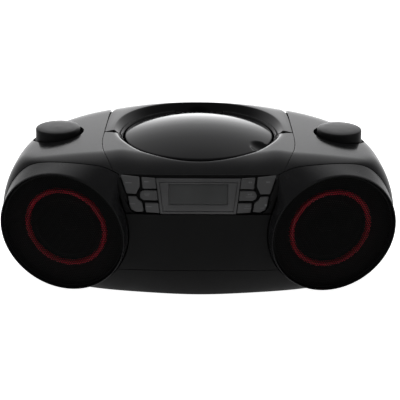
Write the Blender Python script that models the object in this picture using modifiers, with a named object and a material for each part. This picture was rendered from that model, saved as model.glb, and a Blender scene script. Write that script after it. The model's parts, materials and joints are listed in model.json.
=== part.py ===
"""A portable CD boombox: an oval cabinet with two round speakers at its front corners, a domed CD lid
with a fold-flat carry handle behind it, two rotary knobs on the shoulders and a display between buttons.

Metres, +Z up, front towards -Y, +X to the right as seen from the front. The CD lid is centred on the Z
axis, and the origin is on the standing surface below it."""

import math

import bmesh
import bpy
from mathutils import Matrix, Vector

# Cabinet
HALF_WIDTH = 0.1950
Y_WIDEST = -0.045
Y_BACK = 0.1164
Y_FRONT = -0.105
Z_MIDDLE = 0.060
Z_APEX = 0.190
Z_LOWEST = -0.020
Z_BASE = 0.004
PLAN_POWER_BACK = 2.5
PLAN_POWER_FRONT = 2.8
PROFILE_POWER = 2.3
BLEND_POWER = 20.0
WALL = 0.0025
PANEL_WALL = 0.0034
SEAM = 0.0006
Z_BASE_SEAM = 0.0315
Z_TOP_SEAM = 0.0880
Y_SIDE_SEAM = -0.0680

# Flat top round the CD lid
Z_DECK_TOP = 0.1410

# Its level top: how it dips before the CD lid, rolls over in front and slopes down towards the sides
LID_DIP = 0.0035
Y_ROLL = -0.060
SIDE_ROLL_BACK = 0.006
ROLL_CURVE = 11.2
SIDE_ROLL_LESS = 1.7
X_SHOULDER_SLOPE = 0.085
SHOULDER_DROP = 0.0045
CROWN = 0.0010
BLOCK_HALF_WIDTH = 0.0950
Y_HANDLE_GAP = -0.0085

# CD lid and well
LID_RADIUS = 0.075
LID_Z = 0.135
LID_DOME = 0.0130
LID_WALL = 0.0022
LID_HINGE_Y = 0.0785
LID_HINGE_Z = 0.1320
WELL_RADIUS = 0.0765
WELL_FLOOR_Z = 0.1165

# Handle
HANDLE_PIVOT_Y = 0.006
HANDLE_PIVOT_Z = 0.1335
HANDLE_BACK_Y = 0.1035
HANDLE_BOTTOM_Z = 0.1195
HANDLE_CREST_Z = 0.1403
HANDLE_PIN_RADIUS = 0.0018

# Speakers
SPEAKER_X = 0.1303
SPEAKER_Y = -0.100
SPEAKER_Z = 0.0687
SPEAKER_YAW = math.radians(13.1)
SPEAKER_PITCH = math.radians(-4.3)
GRILLE_RADIUS = 0.0618
BORE_RADIUS = 0.0632
BAFFLE_DEPTH = 0.0140
BAFFLE_WALL = 0.0030
TRIM_RADIUS = 0.0415
DRIVER_RADIUS = 0.0340

# Knobs
KNOB_X = 0.1430
KNOB_Y = -0.002
KNOB_RADIUS = 0.0230
KNOB_TOP_Z = 0.1437
KNOB_BOTTOM_Z = 0.1290
STEM_END_Z = 0.1190
POCKET_RADIUS = 0.0260
POCKET_FLOOR_Z = 0.1275

# Display band
BAND_TOP_Z = 0.1266
BAND_BOTTOM_Z = 0.0918
BAND_TOP_HALF = 0.0815
BAND_BOTTOM_HALF = 0.0700
FRAME_TOP_HALF = 0.0392
FRAME_BOTTOM_HALF = 0.0364
BOARD_Y = -0.0900

# Antenna
ANTENNA_Y = 0.1100
ANTENNA_Z = 0.1083
ANTENNA_PIVOT_X = 0.0840
ANTENNA_END_X = -0.0850

RING_POINTS = 48

PARTS = bpy.data.collections.new("boombox")
CUTTERS = bpy.data.collections.new("cutters")
MATERIALS = {}


# Scene, materials and modifiers


def clear_scene():
    for obj in list(bpy.data.objects):
        bpy.data.objects.remove(obj, do_unlink=True)
    bpy.context.scene.collection.children.link(PARTS)
    bpy.context.scene.collection.children.link(CUTTERS)


def material(name, colour, roughness, metallic=0.0):
    if name not in MATERIALS:
        made = bpy.data.materials.new(name)
        made.use_nodes = True
        shader = made.node_tree.nodes["Principled BSDF"]
        shader.inputs["Base Color"].default_value = (*colour, 1.0)
        shader.inputs["Roughness"].default_value = roughness
        shader.inputs["Metallic"].default_value = metallic
        MATERIALS[name] = made
    return MATERIALS[name]


def gloss_black():
    return material("gloss_black", (0.008, 0.008, 0.009), 0.08)


def matte_black():
    return material("matte_black", (0.012, 0.012, 0.013), 0.45)


def satin_grey():
    return material("satin_grey", (0.035, 0.035, 0.037), 0.40)


def trim_red():
    return material("trim_red", (0.20, 0.005, 0.008), 0.35)


def bare_metal():
    return material("bare_metal", (0.60, 0.60, 0.62), 0.25, 1.0)


def grille_metal():
    return material("grille_metal", (0.015, 0.015, 0.016), 0.40, 0.6)


def board_green():
    return material("board_green", (0.01, 0.08, 0.03), 0.50)


def rubber():
    return material("rubber", (0.02, 0.02, 0.02), 0.85)


def clear_window():
    return material("clear_window", (0.03, 0.03, 0.035), 0.05)


def place(name, mesh, finish, collection=PARTS):
    obj = bpy.data.objects.new(name, mesh)
    collection.objects.link(obj)
    if finish:
        mesh.materials.clear()
        mesh.materials.append(finish)
    return obj


def helper(obj):
    """Makes an object a cutter, which isn't part of the boombox."""
    for held in list(obj.users_collection):
        held.objects.unlink(obj)
    CUTTERS.objects.link(obj)
    obj.hide_render = True
    obj.display_type = "WIRE"
    return obj


def boolean(obj, other, operation):
    change = obj.modifiers.new(operation.lower(), "BOOLEAN")
    change.operation = operation
    change.object = other
    change.solver = "EXACT"
    return obj


def cut(obj, *others):
    for other in others:
        boolean(obj, other, "DIFFERENCE")
    return obj


def keep(obj, other):
    return boolean(obj, other, "INTERSECT")


def join(obj, *others):
    for other in others:
        boolean(obj, other, "UNION")
    return obj


# Shapes


def mesh_from(name, build):
    shape = bmesh.new()
    build(shape)
    bmesh.ops.recalc_face_normals(shape, faces=shape.faces)
    mesh = bpy.data.meshes.new(name)
    shape.to_mesh(mesh)
    shape.free()
    return mesh


def loft(name, rings, finish=None, collection=PARTS):
    """A closed solid through rings that have the same number of points, with flat ends."""

    def build(shape):
        rows = [[shape.verts.new(point) for point in ring] for ring in rings]
        for low, high in zip(rows, rows[1:]):
            count = len(low)
            for i in range(count):
                j = (i + 1) % count
                shape.faces.new((low[i], low[j], high[j], high[i]))
        shape.faces.new(reversed(rows[0]))
        shape.faces.new(rows[-1])

    return place(name, mesh_from(name, build), finish, collection)


def box(name, low, high, finish=None, bevel=0.0):
    low, high = Vector(low), Vector(high)

    def build(shape):
        size = Matrix.Diagonal((*(high - low), 1.0))
        bmesh.ops.create_cube(shape, size=1.0, matrix=Matrix.Translation((low + high) / 2) @ size)

    obj = place(name, mesh_from(name, build), finish)
    if bevel:
        edge = obj.modifiers.new("bevel", "BEVEL")
        edge.width = bevel
        edge.segments = 1
    return obj


def prism(name, outline, low, high, finish=None):
    """An outline in X and Y raised from height low to height high."""
    return loft(name, [[(x, y, z) for x, y in outline] for z in (low, high)], finish)


def round_bar(name, radius, start, end, finish=None, points=24, end_radius=None):
    """A cylinder or cone from one point to another."""
    start, end = Vector(start), Vector(end)
    way = (end - start).normalized()
    turn = way.to_track_quat("Z", "Y").to_matrix()
    radii = (radius, radius if end_radius is None else end_radius)
    rings = []
    for centre, size in zip((start, end), radii):
        angles = [math.tau * i / points for i in range(points)]
        rings.append([centre + turn @ Vector((size * math.cos(a), size * math.sin(a), 0)) for a in angles])
    return loft(name, rings, finish)


def turned(name, profile, place_at, finish, steps=32):
    """A profile of radius and height, running down its outer side, turned about the local Z axis."""
    mesh = bpy.data.meshes.new(name)
    edges = [(i, i + 1) for i in range(len(profile) - 1)]
    if profile[0][0] > 0 and profile[-1][0] > 0:
        edges.append((len(profile) - 1, 0))
    mesh.from_pydata([(r, 0, z) for r, z in profile], edges, [])
    obj = place(name, mesh, finish)
    screw = obj.modifiers.new("turn", "SCREW")
    screw.steps = steps
    screw.render_steps = steps
    screw.use_merge_vertices = True
    screw.merge_threshold = 0.00001
    obj.matrix_world = place_at
    return obj


# Cabinet surface


def plan_radius(angle, inset=0.0):
    """Distance from the widest line's centre to the cabinet's outline, seen from above."""
    c, s = math.cos(angle), math.sin(angle)
    depth = (Y_BACK - Y_WIDEST) if s > 0 else (Y_WIDEST - Y_FRONT)
    power = PLAN_POWER_BACK if s > 0 else PLAN_POWER_FRONT
    width = HALF_WIDTH - inset
    return (abs(c / width) ** power + abs(s / (depth - inset)) ** power) ** (-1 / power)


def eased(value):
    """A smooth step from 0 to 1."""
    share = min(max(value, 0.0), 1.0)
    return share * share * (3 - 2 * share)


def flat_top(x, y):
    """Height of the cabinet's level top, which dips before the CD lid and rolls over in front."""
    middle = 1 - eased((abs(x) - 0.050) / 0.030)
    dip = LID_DIP * middle * eased((-0.020 - y) / 0.030)
    side = eased((abs(x) - 0.070) / 0.025)
    past_edge = max(0.0, Y_ROLL - SIDE_ROLL_BACK * side - y)
    roll = (ROLL_CURVE - SIDE_ROLL_LESS * side) * past_edge**2
    slope = SHOULDER_DROP * (max(0.0, abs(x) - X_SHOULDER_SLOPE) / 0.070) ** 1.5
    return Z_DECK_TOP - dip - roll - slope - CROWN * (x / BLOCK_HALF_WIDTH) ** 2


def blended_top(x, y, rise, inset=0.0):
    """Height of the cabinet's top where its curve has risen this far: the lower of curve and flat, rounded."""
    flat = flat_top(x, y) - inset - Z_MIDDLE
    return Z_MIDDLE + (max(rise, 0.0001) ** -BLEND_POWER + flat**-BLEND_POWER) ** (-1 / BLEND_POWER)


def cabinet_top(x, y):
    """Height of the cabinet's upper surface at a point seen from above."""
    out = math.hypot(x, y - Y_WIDEST) / plan_radius(math.atan2(y - Y_WIDEST, x))
    level = max(0.0, 1 - out**PROFILE_POWER) ** (1 / PROFILE_POWER)
    return blended_top(x, y, level * (Z_APEX - Z_MIDDLE))


def cabinet_ring(level, inset):
    """One level of the cabinet: 0 is its widest line, 1 its crown and -1 the lowest point of its curve."""
    rise = (Z_APEX - Z_MIDDLE if level > 0 else Z_MIDDLE - Z_LOWEST) - inset
    ring = []
    for i in range(RING_POINTS):
        angle = math.tau * i / RING_POINTS
        power = PROFILE_POWER if level > 0 else 2.2 + 0.8 * math.sin(angle) ** 2
        reach = (1 - abs(level) ** power) ** (1 / power) * plan_radius(angle, inset)
        x = reach * math.cos(angle)
        y = Y_WIDEST + reach * math.sin(angle)
        z = Z_MIDDLE + level * rise
        ring.append((x, y, blended_top(x, y, level * rise, inset) if level > 0 else z))
    return ring


def cabinet_solid(name, inset):
    """The whole cabinet's outer form, made smaller by inset on every side."""
    lowest = -(Z_MIDDLE - Z_BASE - inset) / (Z_MIDDLE - Z_LOWEST - inset)
    rising = [0.05, 0.20, 0.35, 0.50, 0.62, 0.72, 0.80, 0.87, 0.92, 0.955, 0.98, 0.993, 0.999]
    levels = [lowest, -0.5, -0.3, -0.12, *rising]
    return helper(loft(name, [cabinet_ring(level, inset) for level in levels]))


# Speaker frame: +Z runs out of the grille


def speaker_frame(side):
    out = Vector((
        side * math.sin(SPEAKER_YAW) * math.cos(SPEAKER_PITCH),
        -math.cos(SPEAKER_YAW) * math.cos(SPEAKER_PITCH),
        math.sin(SPEAKER_PITCH),
    ))
    across = Vector((0, 0, 1)).cross(out).normalized()
    turn = Matrix((across, out.cross(across), out)).transposed().to_4x4()
    return Matrix.Translation((side * SPEAKER_X, SPEAKER_Y, SPEAKER_Z)) @ turn


def speaker_bar(name, side, radius, front, back, end_radius=None, points=48):
    """A round solid on the speaker's axis, from front to back metres behind the grille's rim."""
    frame = speaker_frame(side)
    return round_bar(name, radius, frame @ Vector((0, 0, -front)), frame @ Vector((0, 0, -back)),
                     None, points, end_radius)


def side_name(side):
    return "left" if side < 0 else "right"


# Cabinet shells


def region(name, low, high):
    return helper(box(name, low, high))


def shell_piece(name, finish, outer, inner, kept):
    """The cabinet's wall inside one region."""
    obj = place(name, outer.data.copy(), finish)
    keep(obj, kept)
    return cut(obj, inner)


def make_base_cover(outer, inner, bores):
    kept = region("base_region", (-0.3, -0.3, -0.01), (0.3, 0.3, Z_BASE_SEAM - SEAM / 2))
    return cut(shell_piece("base_cover", matte_black(), outer, inner, kept), *bores)


def surround_side(side, gap=0.0):
    """The side edge of the surface in front of the CD lid, from the handle forwards, seen from above."""
    points = [(0.0950, Y_HANDLE_GAP), (0.0945, -0.035), (0.0930, -0.052), (0.0905, -0.066), (0.0860, -0.080),
              (0.0795, -0.094), (0.0750, -0.103), (0.0720, -0.130)]
    return [(side * (x + gap), y) for x, y in points]


def band_opening():
    bottom = Z_TOP_SEAM - SEAM / 2
    outline = [(-BAND_TOP_HALF, 0.20), (-BAND_TOP_HALF, BAND_TOP_Z), (-BAND_BOTTOM_HALF, BAND_BOTTOM_Z),
               (-BAND_BOTTOM_HALF, bottom), (BAND_BOTTOM_HALF, bottom), (BAND_BOTTOM_HALF, BAND_BOTTOM_Z),
               (BAND_TOP_HALF, BAND_TOP_Z), (BAND_TOP_HALF, 0.20)]
    return helper(loft("band_opening", [[(x, y, z) for x, z in outline] for y in (-0.13, -0.080)]))


def make_front_cabinet(outer, inner, clear, bores):
    bottom = Z_BASE_SEAM + SEAM / 2
    kept = region("front_region", (-0.0950, -0.3, bottom), (0.0950, -0.055, Z_TOP_SEAM - SEAM / 2))
    join(kept, region("front_rise", (-0.0694, -0.3, 0.06), (0.0694, -0.055, BAND_BOTTOM_Z - 0.0006)))
    panel = cut(shell_piece("front_cabinet", matte_black(), outer, inner, kept), *bores)
    for side in (-1, 1):
        where = side_name(side)
        barrel = helper(speaker_bar(f"barrel_{where}", side, 0.0668, 0.009, BAFFLE_DEPTH + BAFFLE_WALL, None, 44))
        cut(barrel, helper(speaker_bar(f"barrel_bore_{where}", side, BORE_RADIUS + 0.0004, -0.02, BAFFLE_DEPTH, None, 44)))
        cut(barrel, helper(speaker_bar(f"driver_hole_{where}", side, 0.0362, -0.02, 0.05)))
        keep(barrel, clear)
        join(panel, barrel)
        panel.modifiers[-1].solver = "MANIFOLD"
    return panel


def make_rear_cover(outer, inner, middle, bores):
    top = Z_TOP_SEAM - SEAM / 2
    bottom = Z_BASE_SEAM + SEAM / 2
    kept = region("rear_region", (-0.3, Y_SIDE_SEAM, bottom), (0.3, 0.3, top))
    join(kept, region("rear_left", (-0.3, -0.12, bottom), (-0.15, 0, top)))
    join(kept, region("rear_right", (0.15, -0.12, bottom), (0.3, 0, top)))
    join(kept, region("rear_middle", (-0.0980, 0.09, bottom), (0.0980, 0.3, 0.1030)))
    cover = shell_piece("rear_cover", matte_black(), outer, inner, kept)
    for bore in bores:
        cut(cover, bore)
        cover.modifiers[-1].solver = "MANIFOLD"
    ledge = region("rear_ledge", (-0.0975, 0.1035, 0.1005), (0.0975, 0.14, 0.1029))
    keep(ledge, middle)
    join(cover, ledge)
    cut(cover, region("door_opening", (-0.0700, 0.10, 0.0352), (0.0700, 0.14, 0.0848)))
    cut(cover, region("inlet_opening", (-0.1170, 0.06, 0.0450), (-0.0930, 0.14, 0.0630)))
    cut(cover, helper(round_bar("socket_opening", 0.0035, (0.100, 0.05, 0.054), (0.100, 0.14, 0.054))))
    return cover


def make_battery_door(outer, inner):
    kept = region("door_region", (-0.0694, 0.10, 0.0358), (0.0694, 0.14, 0.0842))
    return shell_piece("battery_door", matte_black(), outer, inner, kept)


def make_shoulder(side, outer, inner, bore):
    where = side_name(side)
    edge = [(side * (BLOCK_HALF_WIDTH + 0.0006), 0.3), *surround_side(side, 0.0006)]
    outline = [*edge, (side * 0.3, -0.13), (side * 0.3, 0.3)]
    kept = helper(prism(f"shoulder_region_{where}", outline, Z_TOP_SEAM + SEAM / 2, 0.2))
    cut(kept, region(f"shoulder_rear_{where}", (-0.0986, 0.09, 0), (0.0986, 0.31, 0.1040)))
    cut(kept, band_opening())
    x = side * KNOB_X
    floor, above = Vector((x, KNOB_Y, POCKET_FLOOR_Z)), Vector((x, KNOB_Y, 0.2))
    under = floor - Vector((0, 0, 0.0022))
    hole = helper(round_bar(f"pocket_{where}", POCKET_RADIUS, floor, above, None, 40))
    cup = helper(round_bar(f"cup_{where}", POCKET_RADIUS + 0.0016, under, above, None, 40))
    room = helper(place(f"shoulder_room_{where}", inner.data.copy(), None))
    cut(room, cup)
    cover = shell_piece(f"shoulder_{where}", gloss_black(), outer, room, kept)
    cut(cover, hole)
    cut(cover, helper(round_bar(f"stem_hole_{where}", 0.0036, (x, KNOB_Y, 0.1), above)))
    low_x, high_x = sorted((side * 0.0956, side * 0.0990))
    lug = region(f"lug_{where}", (low_x, -0.004, 0.1215), (high_x, 0.016, 0.1375))
    join(cover, lug)
    start, end = (side * 0.09, HANDLE_PIVOT_Y, HANDLE_PIVOT_Z), (side * 0.12, HANDLE_PIVOT_Y, HANDLE_PIVOT_Z)
    cut(cover, helper(round_bar(f"pin_hole_{where}", HANDLE_PIN_RADIUS + 0.0003, start, end)))
    cut(cover, bore)
    cover.modifiers[-1].solver = "MANIFOLD"
    return cover


def make_hood(side, fat):
    """The raised ring round a speaker grille, standing on the outside of the cabinet."""
    where = side_name(side)
    frame = speaker_frame(side)
    rings = []
    for radius, lift, depth in ((0.0626, 0.0, -0.0012), (0.0645, 0.0, 0.0220)):
        turns = [math.tau * i / 48 for i in range(48)]
        ring = [(radius * math.cos(a), radius * math.sin(a) + lift, -depth) for a in turns]
        rings.append([frame @ Vector(point) for point in ring])
    hood = loft(f"speaker_hood_{where}", rings, satin_grey())
    cut(hood, helper(speaker_bar(f"hood_bore_{where}", side, BORE_RADIUS - 0.0010, -0.02, 0.06)))
    return cut(hood, fat)


def make_surround(outer, inner):
    """The glossy front half of the surface round the CD lid."""
    right, left = surround_side(1), surround_side(-1)
    rear = Y_HANDLE_GAP - 0.0007
    outline = [(BLOCK_HALF_WIDTH, rear), *right[1:], *reversed(left[1:]), (-BLOCK_HALF_WIDTH, rear)]
    kept = helper(prism("surround_region", outline, BAND_TOP_Z + 0.0006, 0.2))
    piece = shell_piece("cd_surround", gloss_black(), outer, inner, kept)
    return cut(piece, helper(round_bar("lid_hole", WELL_RADIUS + 0.0004, (0, 0, 0.1), (0, 0, 0.2), None, 72)))


# CD player


def make_cd_deck(clear):
    plate = box("cd_deck", (-0.0946, -0.0860, WELL_FLOOR_Z - 0.0025), (0.0946, 0.1032, WELL_FLOOR_Z),
                matte_black())
    keep(plate, clear)
    wall = helper(round_bar("well_wall", WELL_RADIUS + 0.0022, (0, 0, WELL_FLOOR_Z - 0.002), (0, 0, LID_Z - 0.0050),
                            None, 60))
    cut(wall, helper(round_bar("well_inside", WELL_RADIUS, (0, 0, WELL_FLOOR_Z - 0.01), (0, 0, 0.2), None, 60)))
    join(plate, wall)
    join(plate, region("deck_back", (-0.0940, 0.1002, 0.1042), (0.0940, 0.1030, WELL_FLOOR_Z - 0.001)))
    for x in (-0.022, 0.022):
        low_x, high_x = x - 0.003, x + 0.003
        lug = region(f"hinge_lug_{high_x:.3f}", (low_x, 0.0760, WELL_FLOOR_Z - 0.001),
                     (high_x, 0.0810, LID_HINGE_Z + 0.0014))
        join(plate, lug)
    cut(plate, helper(round_bar("hinge_bore", 0.0013, (-0.03, LID_HINGE_Y, LID_HINGE_Z),
                                (0.03, LID_HINGE_Y, LID_HINGE_Z), None, 16)))
    cut(plate, region("knuckle_room", (-0.0185, 0.0700, WELL_FLOOR_Z + 0.004), (0.0185, 0.0835, 0.2)))
    cut(plate, helper(round_bar("spindle_hole", 0.0190, (0, 0, 0.1), (0, 0, 0.13), None, 32)))
    cut(plate, region("pickup_slot", (-0.009, -0.058, 0.1), (0.009, -0.010, 0.13)))
    for name, low_y, high_y in (("front", -0.0800, -0.0765), ("rear", -0.0165, -0.0130)):
        join(plate, region(f"rail_lug_{name}", (0.0102, low_y, 0.1055), (0.0160, high_y, WELL_FLOOR_Z - 0.001)))
    return cut(plate, helper(round_bar("rail_seat", 0.0018, (0.0130, -0.0785, 0.1080), (0.0130, -0.0145, 0.1080),
                                       None, 12)))


def make_cd_lid():
    sphere = (LID_RADIUS**2 + LID_DOME**2) / (2 * LID_DOME)
    crown = LID_Z + LID_DOME - sphere
    outer = [LID_RADIUS * i / 6 for i in range(7)]
    top = [(r, crown + math.sqrt(sphere**2 - r**2)) for r in outer]
    under = [(r, crown + math.sqrt((sphere - LID_WALL) ** 2 - r**2)) for r in reversed(outer[:-1])]
    rim = [(LID_RADIUS, LID_Z - 0.0030), (LID_RADIUS - 0.0022, LID_Z - 0.0030)]
    lid = turned("cd_lid", top + rim + under, Matrix.Identity(4), gloss_black(), 48)
    knuckle = helper(round_bar("lid_knuckle", 0.0022, (-0.0182, LID_HINGE_Y, LID_HINGE_Z),
                               (0.0182, LID_HINGE_Y, LID_HINGE_Z), None, 20))
    join(knuckle, region("lid_tail", (-0.0180, 0.0725, LID_HINGE_Z - 0.0010), (0.0180, LID_HINGE_Y, LID_Z - 0.0004)))
    join(knuckle, helper(round_bar("lid_pin", 0.0010, (-0.0255, LID_HINGE_Y, LID_HINGE_Z),
                                   (0.0255, LID_HINGE_Y, LID_HINGE_Z), None, 16)))
    join(lid, knuckle)
    notch = math.radians(-32)
    x, y = 0.0765 * math.cos(notch), 0.0765 * math.sin(notch)
    return cut(lid, helper(round_bar("lid_notch", 0.0085, (x, y, 0.1), (x, y, 0.2), None, 24)))


def make_cd_player():
    clamp_z = 0.1415
    turned("lid_clamp", [(0, clamp_z), (0.0120, clamp_z), (0.0145, clamp_z - 0.0018), (0.0145, clamp_z - 0.0040),
                         (0, clamp_z - 0.0040)], Matrix.Identity(4), matte_black())
    turned("turntable", [(0, 0.1292), (0.0066, 0.1292), (0.0074, 0.1262), (0.0150, 0.1262), (0.0150, 0.1246),
                         (0.0030, 0.1246), (0.0030, 0.1150), (0, 0.1150)], Matrix.Identity(4), matte_black())
    turned("spindle_motor", [(0.0120, 0.1125), (0.0120, 0.1030), (0.0034, 0.1030), (0.0034, 0.1125)],
           Matrix.Identity(4), bare_metal(), 24)
    sled = box("laser_sled", (-0.0180, -0.0470, 0.1040), (0.0180, -0.0230, 0.1120), matte_black(), 0.0006)
    join(sled, helper(round_bar("laser_lens", 0.0035, (0, -0.035, 0.1100), (0, -0.035, 0.1190), None, 20)))
    cut(sled, helper(round_bar("rail_bore", 0.0018, (0.0130, -0.0600, 0.1080), (0.0130, 0, 0.1080), None, 12)))
    round_bar("sled_rail", 0.0015, (0.0130, -0.0782, 0.1080), (0.0130, -0.0148, 0.1080), bare_metal(), 12)


# Handle


def handle_section(angle):
    """The handle's cross-section where it crosses this direction from the lid's centre."""
    c, s = math.cos(angle), math.sin(angle)

    def reach(half_width, back, power):
        return (abs(c / half_width) ** power + abs(s / back) ** power) ** (-1 / power)

    outside = reach(BLOCK_HALF_WIDTH - 0.0004, HANDLE_BACK_Y, 4.5)
    crest = reach(0.0855, 0.0900, 2.3)
    inside = reach(WELL_RADIUS + 0.0032, 0.0865, 2.0)
    shoulder = crest * 0.45 + outside * 0.55
    edge_z = max(HANDLE_BOTTOM_Z + 0.0040, cabinet_top(outside * c, outside * s))
    levels = [(outside, HANDLE_BOTTOM_Z), (outside, edge_z),
              (shoulder, (cabinet_top(shoulder * c, shoulder * s) + HANDLE_CREST_Z) / 2),
              (crest, HANDLE_CREST_Z), (inside, 0.1310), (inside, HANDLE_BOTTOM_Z)]
    return [(r * c, r * s, z) for r, z in levels]


def make_handle():
    first = math.asin(-0.012 / BLOCK_HALF_WIDTH)
    steps = 34
    angles = [first + (math.pi - 2 * first) * i / steps for i in range(steps + 1)]
    handle = loft("carry_handle", [handle_section(a) for a in angles], gloss_black())
    keep(handle, region("handle_region", (-0.2, -0.0078, 0), (0.2, 0.3, 0.3)))
    for side in (-1, 1):
        where = side_name(side)
        corner = region(f"arm_corner_{where}", (-0.2, -0.03, 0.1), (0.2, HANDLE_PIVOT_Y, 0.16))
        rounding = helper(round_bar(f"arm_round_{where}", 0.0152, (-0.3, HANDLE_PIVOT_Y, HANDLE_PIVOT_Z),
                                    (0.3, HANDLE_PIVOT_Y, HANDLE_PIVOT_Z), None, 48))
        if side < 0:
            cut(corner, rounding)
            cut(handle, corner)
        start = (side * 0.0925, HANDLE_PIVOT_Y, HANDLE_PIVOT_Z)
        end = (side * 0.0985, HANDLE_PIVOT_Y, HANDLE_PIVOT_Z)
        join(handle, helper(round_bar(f"arm_pin_{where}", HANDLE_PIN_RADIUS, start, end, None, 20)))
    return handle


# Speakers


def make_speaker(side):
    where = side_name(side)
    frame = speaker_frame(side)
    grille = [(0, 0.0022), (0.025, 0.0019), (0.046, 0.0009), (GRILLE_RADIUS, -0.0010),
              (GRILLE_RADIUS, -0.0026), (0.046, -0.0003), (0.025, 0.0007), (0, 0.0010)]
    turned(f"grille_{where}", grille, frame, grille_metal(), 44)
    trim = [(0.0385, -0.0100), (TRIM_RADIUS, -0.0110), (TRIM_RADIUS, -0.0137), (0.0366, -0.0137),
            (0.0366, -0.0110)]
    turned(f"trim_ring_{where}", trim, frame, trim_red(), 40)
    front = [(0, -0.0245), (0.0085, -0.0275), (0.0120, -0.0285), (DRIVER_RADIUS, -0.0145)]
    back = [(DRIVER_RADIUS, -0.0160), (0.0120, -0.0302), (0.0085, -0.0302), (0, -0.0268)]
    turned(f"speaker_cone_{where}", front + back, frame, matte_black(), 24)
    basket = [(0.0440, -0.0173), (0.0440, -0.0195), (0.0360, -0.0200), (0.0260, -0.0420), (0.0260, -0.0440),
              (0.0080, -0.0440), (0.0080, -0.0425), (0.0240, -0.0415), (0.0345, -0.0185), (0.0350, -0.0173)]
    turned(f"speaker_basket_{where}", basket, frame, bare_metal(), 24)
    magnet = [(0, -0.0443), (0.0270, -0.0443), (0.0280, -0.0453), (0.0280, -0.0550), (0.0270, -0.0560),
              (0, -0.0560)]
    turned(f"speaker_magnet_{where}", magnet, frame, bare_metal(), 24)


# Knobs


def make_knob(side):
    where = side_name(side)
    at = Matrix.Translation((side * KNOB_X, KNOB_Y, 0))
    top = KNOB_TOP_Z
    knob = [(0, top), (KNOB_RADIUS - 0.0016, top), (KNOB_RADIUS - 0.0004, top - 0.0005),
            (KNOB_RADIUS, top - 0.0016), (KNOB_RADIUS + 0.0004, KNOB_BOTTOM_Z + 0.0016),
            (KNOB_RADIUS + 0.0012, KNOB_BOTTOM_Z + 0.0012), (KNOB_RADIUS + 0.0012, KNOB_BOTTOM_Z),
            (0.0030, KNOB_BOTTOM_Z), (0.0030, STEM_END_Z), (0, STEM_END_Z)]
    name = "function_knob" if side < 0 else "volume_knob"
    turned(name, knob, at, satin_grey(), 32)
    x = side * KNOB_X
    body = box(f"encoder_{where}", (x - 0.0070, KNOB_Y - 0.0070, STEM_END_Z - 0.0065),
               (x + 0.0070, KNOB_Y + 0.0070, STEM_END_Z + 0.0059), bare_metal(), 0.0008)
    bore = round_bar(f"encoder_bore_{where}", 0.0034, (x, KNOB_Y, STEM_END_Z - 0.0015), (x, KNOB_Y, 0.2), None, 20)
    cut(body, helper(bore))


# Display and keys


def front_y(x, z):
    """Where the cabinet's front surface is."""
    level = (z - Z_MIDDLE) / (Z_APEX - Z_MIDDLE)
    reach = (1 - max(0.0, level) ** PROFILE_POWER) ** (1 / PROFILE_POWER)
    across = abs(x / (HALF_WIDTH * reach)) ** PLAN_POWER_FRONT
    return Y_WIDEST - (Y_WIDEST - Y_FRONT) * reach * (1 - across) ** (1 / PLAN_POWER_FRONT)


def front_plate(name, outline, back_y, finish, stand=0.0):
    """A plate whose face follows the cabinet's front and whose back is flat."""
    face = [(x, front_y(x, z) - stand, z) for x, z in outline]
    back = [(x, back_y, z) for x, z in outline]
    return loft(name, [back, face], finish)


def key_outlines():
    """Outlines of one side's keys, from the middle outwards, for positive X."""
    return {
        "top_outer": [(0.0576, 0.1262), (0.0576, 0.1160), (0.0602, 0.1128), (0.0602, 0.1114), (0.0696, 0.1114),
                      (0.0748, 0.1262)],
        "top_inner": [(0.0422, 0.1262), (0.0418, 0.1166), (0.0552, 0.1166), (0.0552, 0.1262)],
        "middle": [(0.0408, 0.1046), (0.0520, 0.1046), (0.0552, 0.1059), (0.0566, 0.1091), (0.0552, 0.1123),
                   (0.0520, 0.1136), (0.0414, 0.1136)],
        "bottom_outer": [(0.0552, 0.0926), (0.0560, 0.1000), (0.0602, 0.1056), (0.0602, 0.1084), (0.0688, 0.1084),
                         (0.0668, 0.0980), (0.0636, 0.0938), (0.0610, 0.0926)],
        "bottom_inner": [(0.0398, 0.0926), (0.0404, 0.1016), (0.0532, 0.1016), (0.0528, 0.0926)],
    }


def make_keys():
    for side in (-1, 1):
        for place_name, outline in key_outlines().items():
            outline = [(side * x, z) for x, z in outline]
            x = sum(p[0] for p in outline) / len(outline)
            z = sum(p[1] for p in outline) / len(outline)
            name = f"key_{side_name(side)}_{place_name}"
            key = front_plate(name, outline, -0.0955, satin_grey())
            stem = round_bar(f"stem_{name}", 0.0018, (x, -0.0960, z), (x, BOARD_Y - 0.0040, z), None, 12)
            join(key, helper(stem))


def trapezoid(top_half, bottom_half, top, bottom):
    return [(-bottom_half, bottom), (bottom_half, bottom), (top_half, top), (-top_half, top)]


def make_display():
    edge = trapezoid(FRAME_TOP_HALF, FRAME_BOTTOM_HALF, BAND_TOP_Z - 0.0004, BAND_BOTTOM_Z - 0.0002)
    frame = front_plate("display_frame", edge, -0.0965, satin_grey())
    opening = [(-0.0300, 0.0995), (0.0300, 0.0995), (0.0300, 0.1210), (-0.0300, 0.1210)]
    cut(frame, helper(loft("display_opening", [[(x, y, z) for x, z in opening] for y in (-0.07, -0.13)])))
    box("display_window", (-0.0296, -0.1022, 0.0999), (0.0296, -0.1006, 0.1206), clear_window())
    box("display_module", (-0.0290, -0.1000, 0.1004), (0.0290, -0.0960, 0.1201), matte_black(), 0.0004)
    box("control_board", (-0.0780, BOARD_Y, 0.0850), (0.0780, BOARD_Y + 0.0016, 0.1235), board_green())


# Power, boards and sockets


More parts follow.
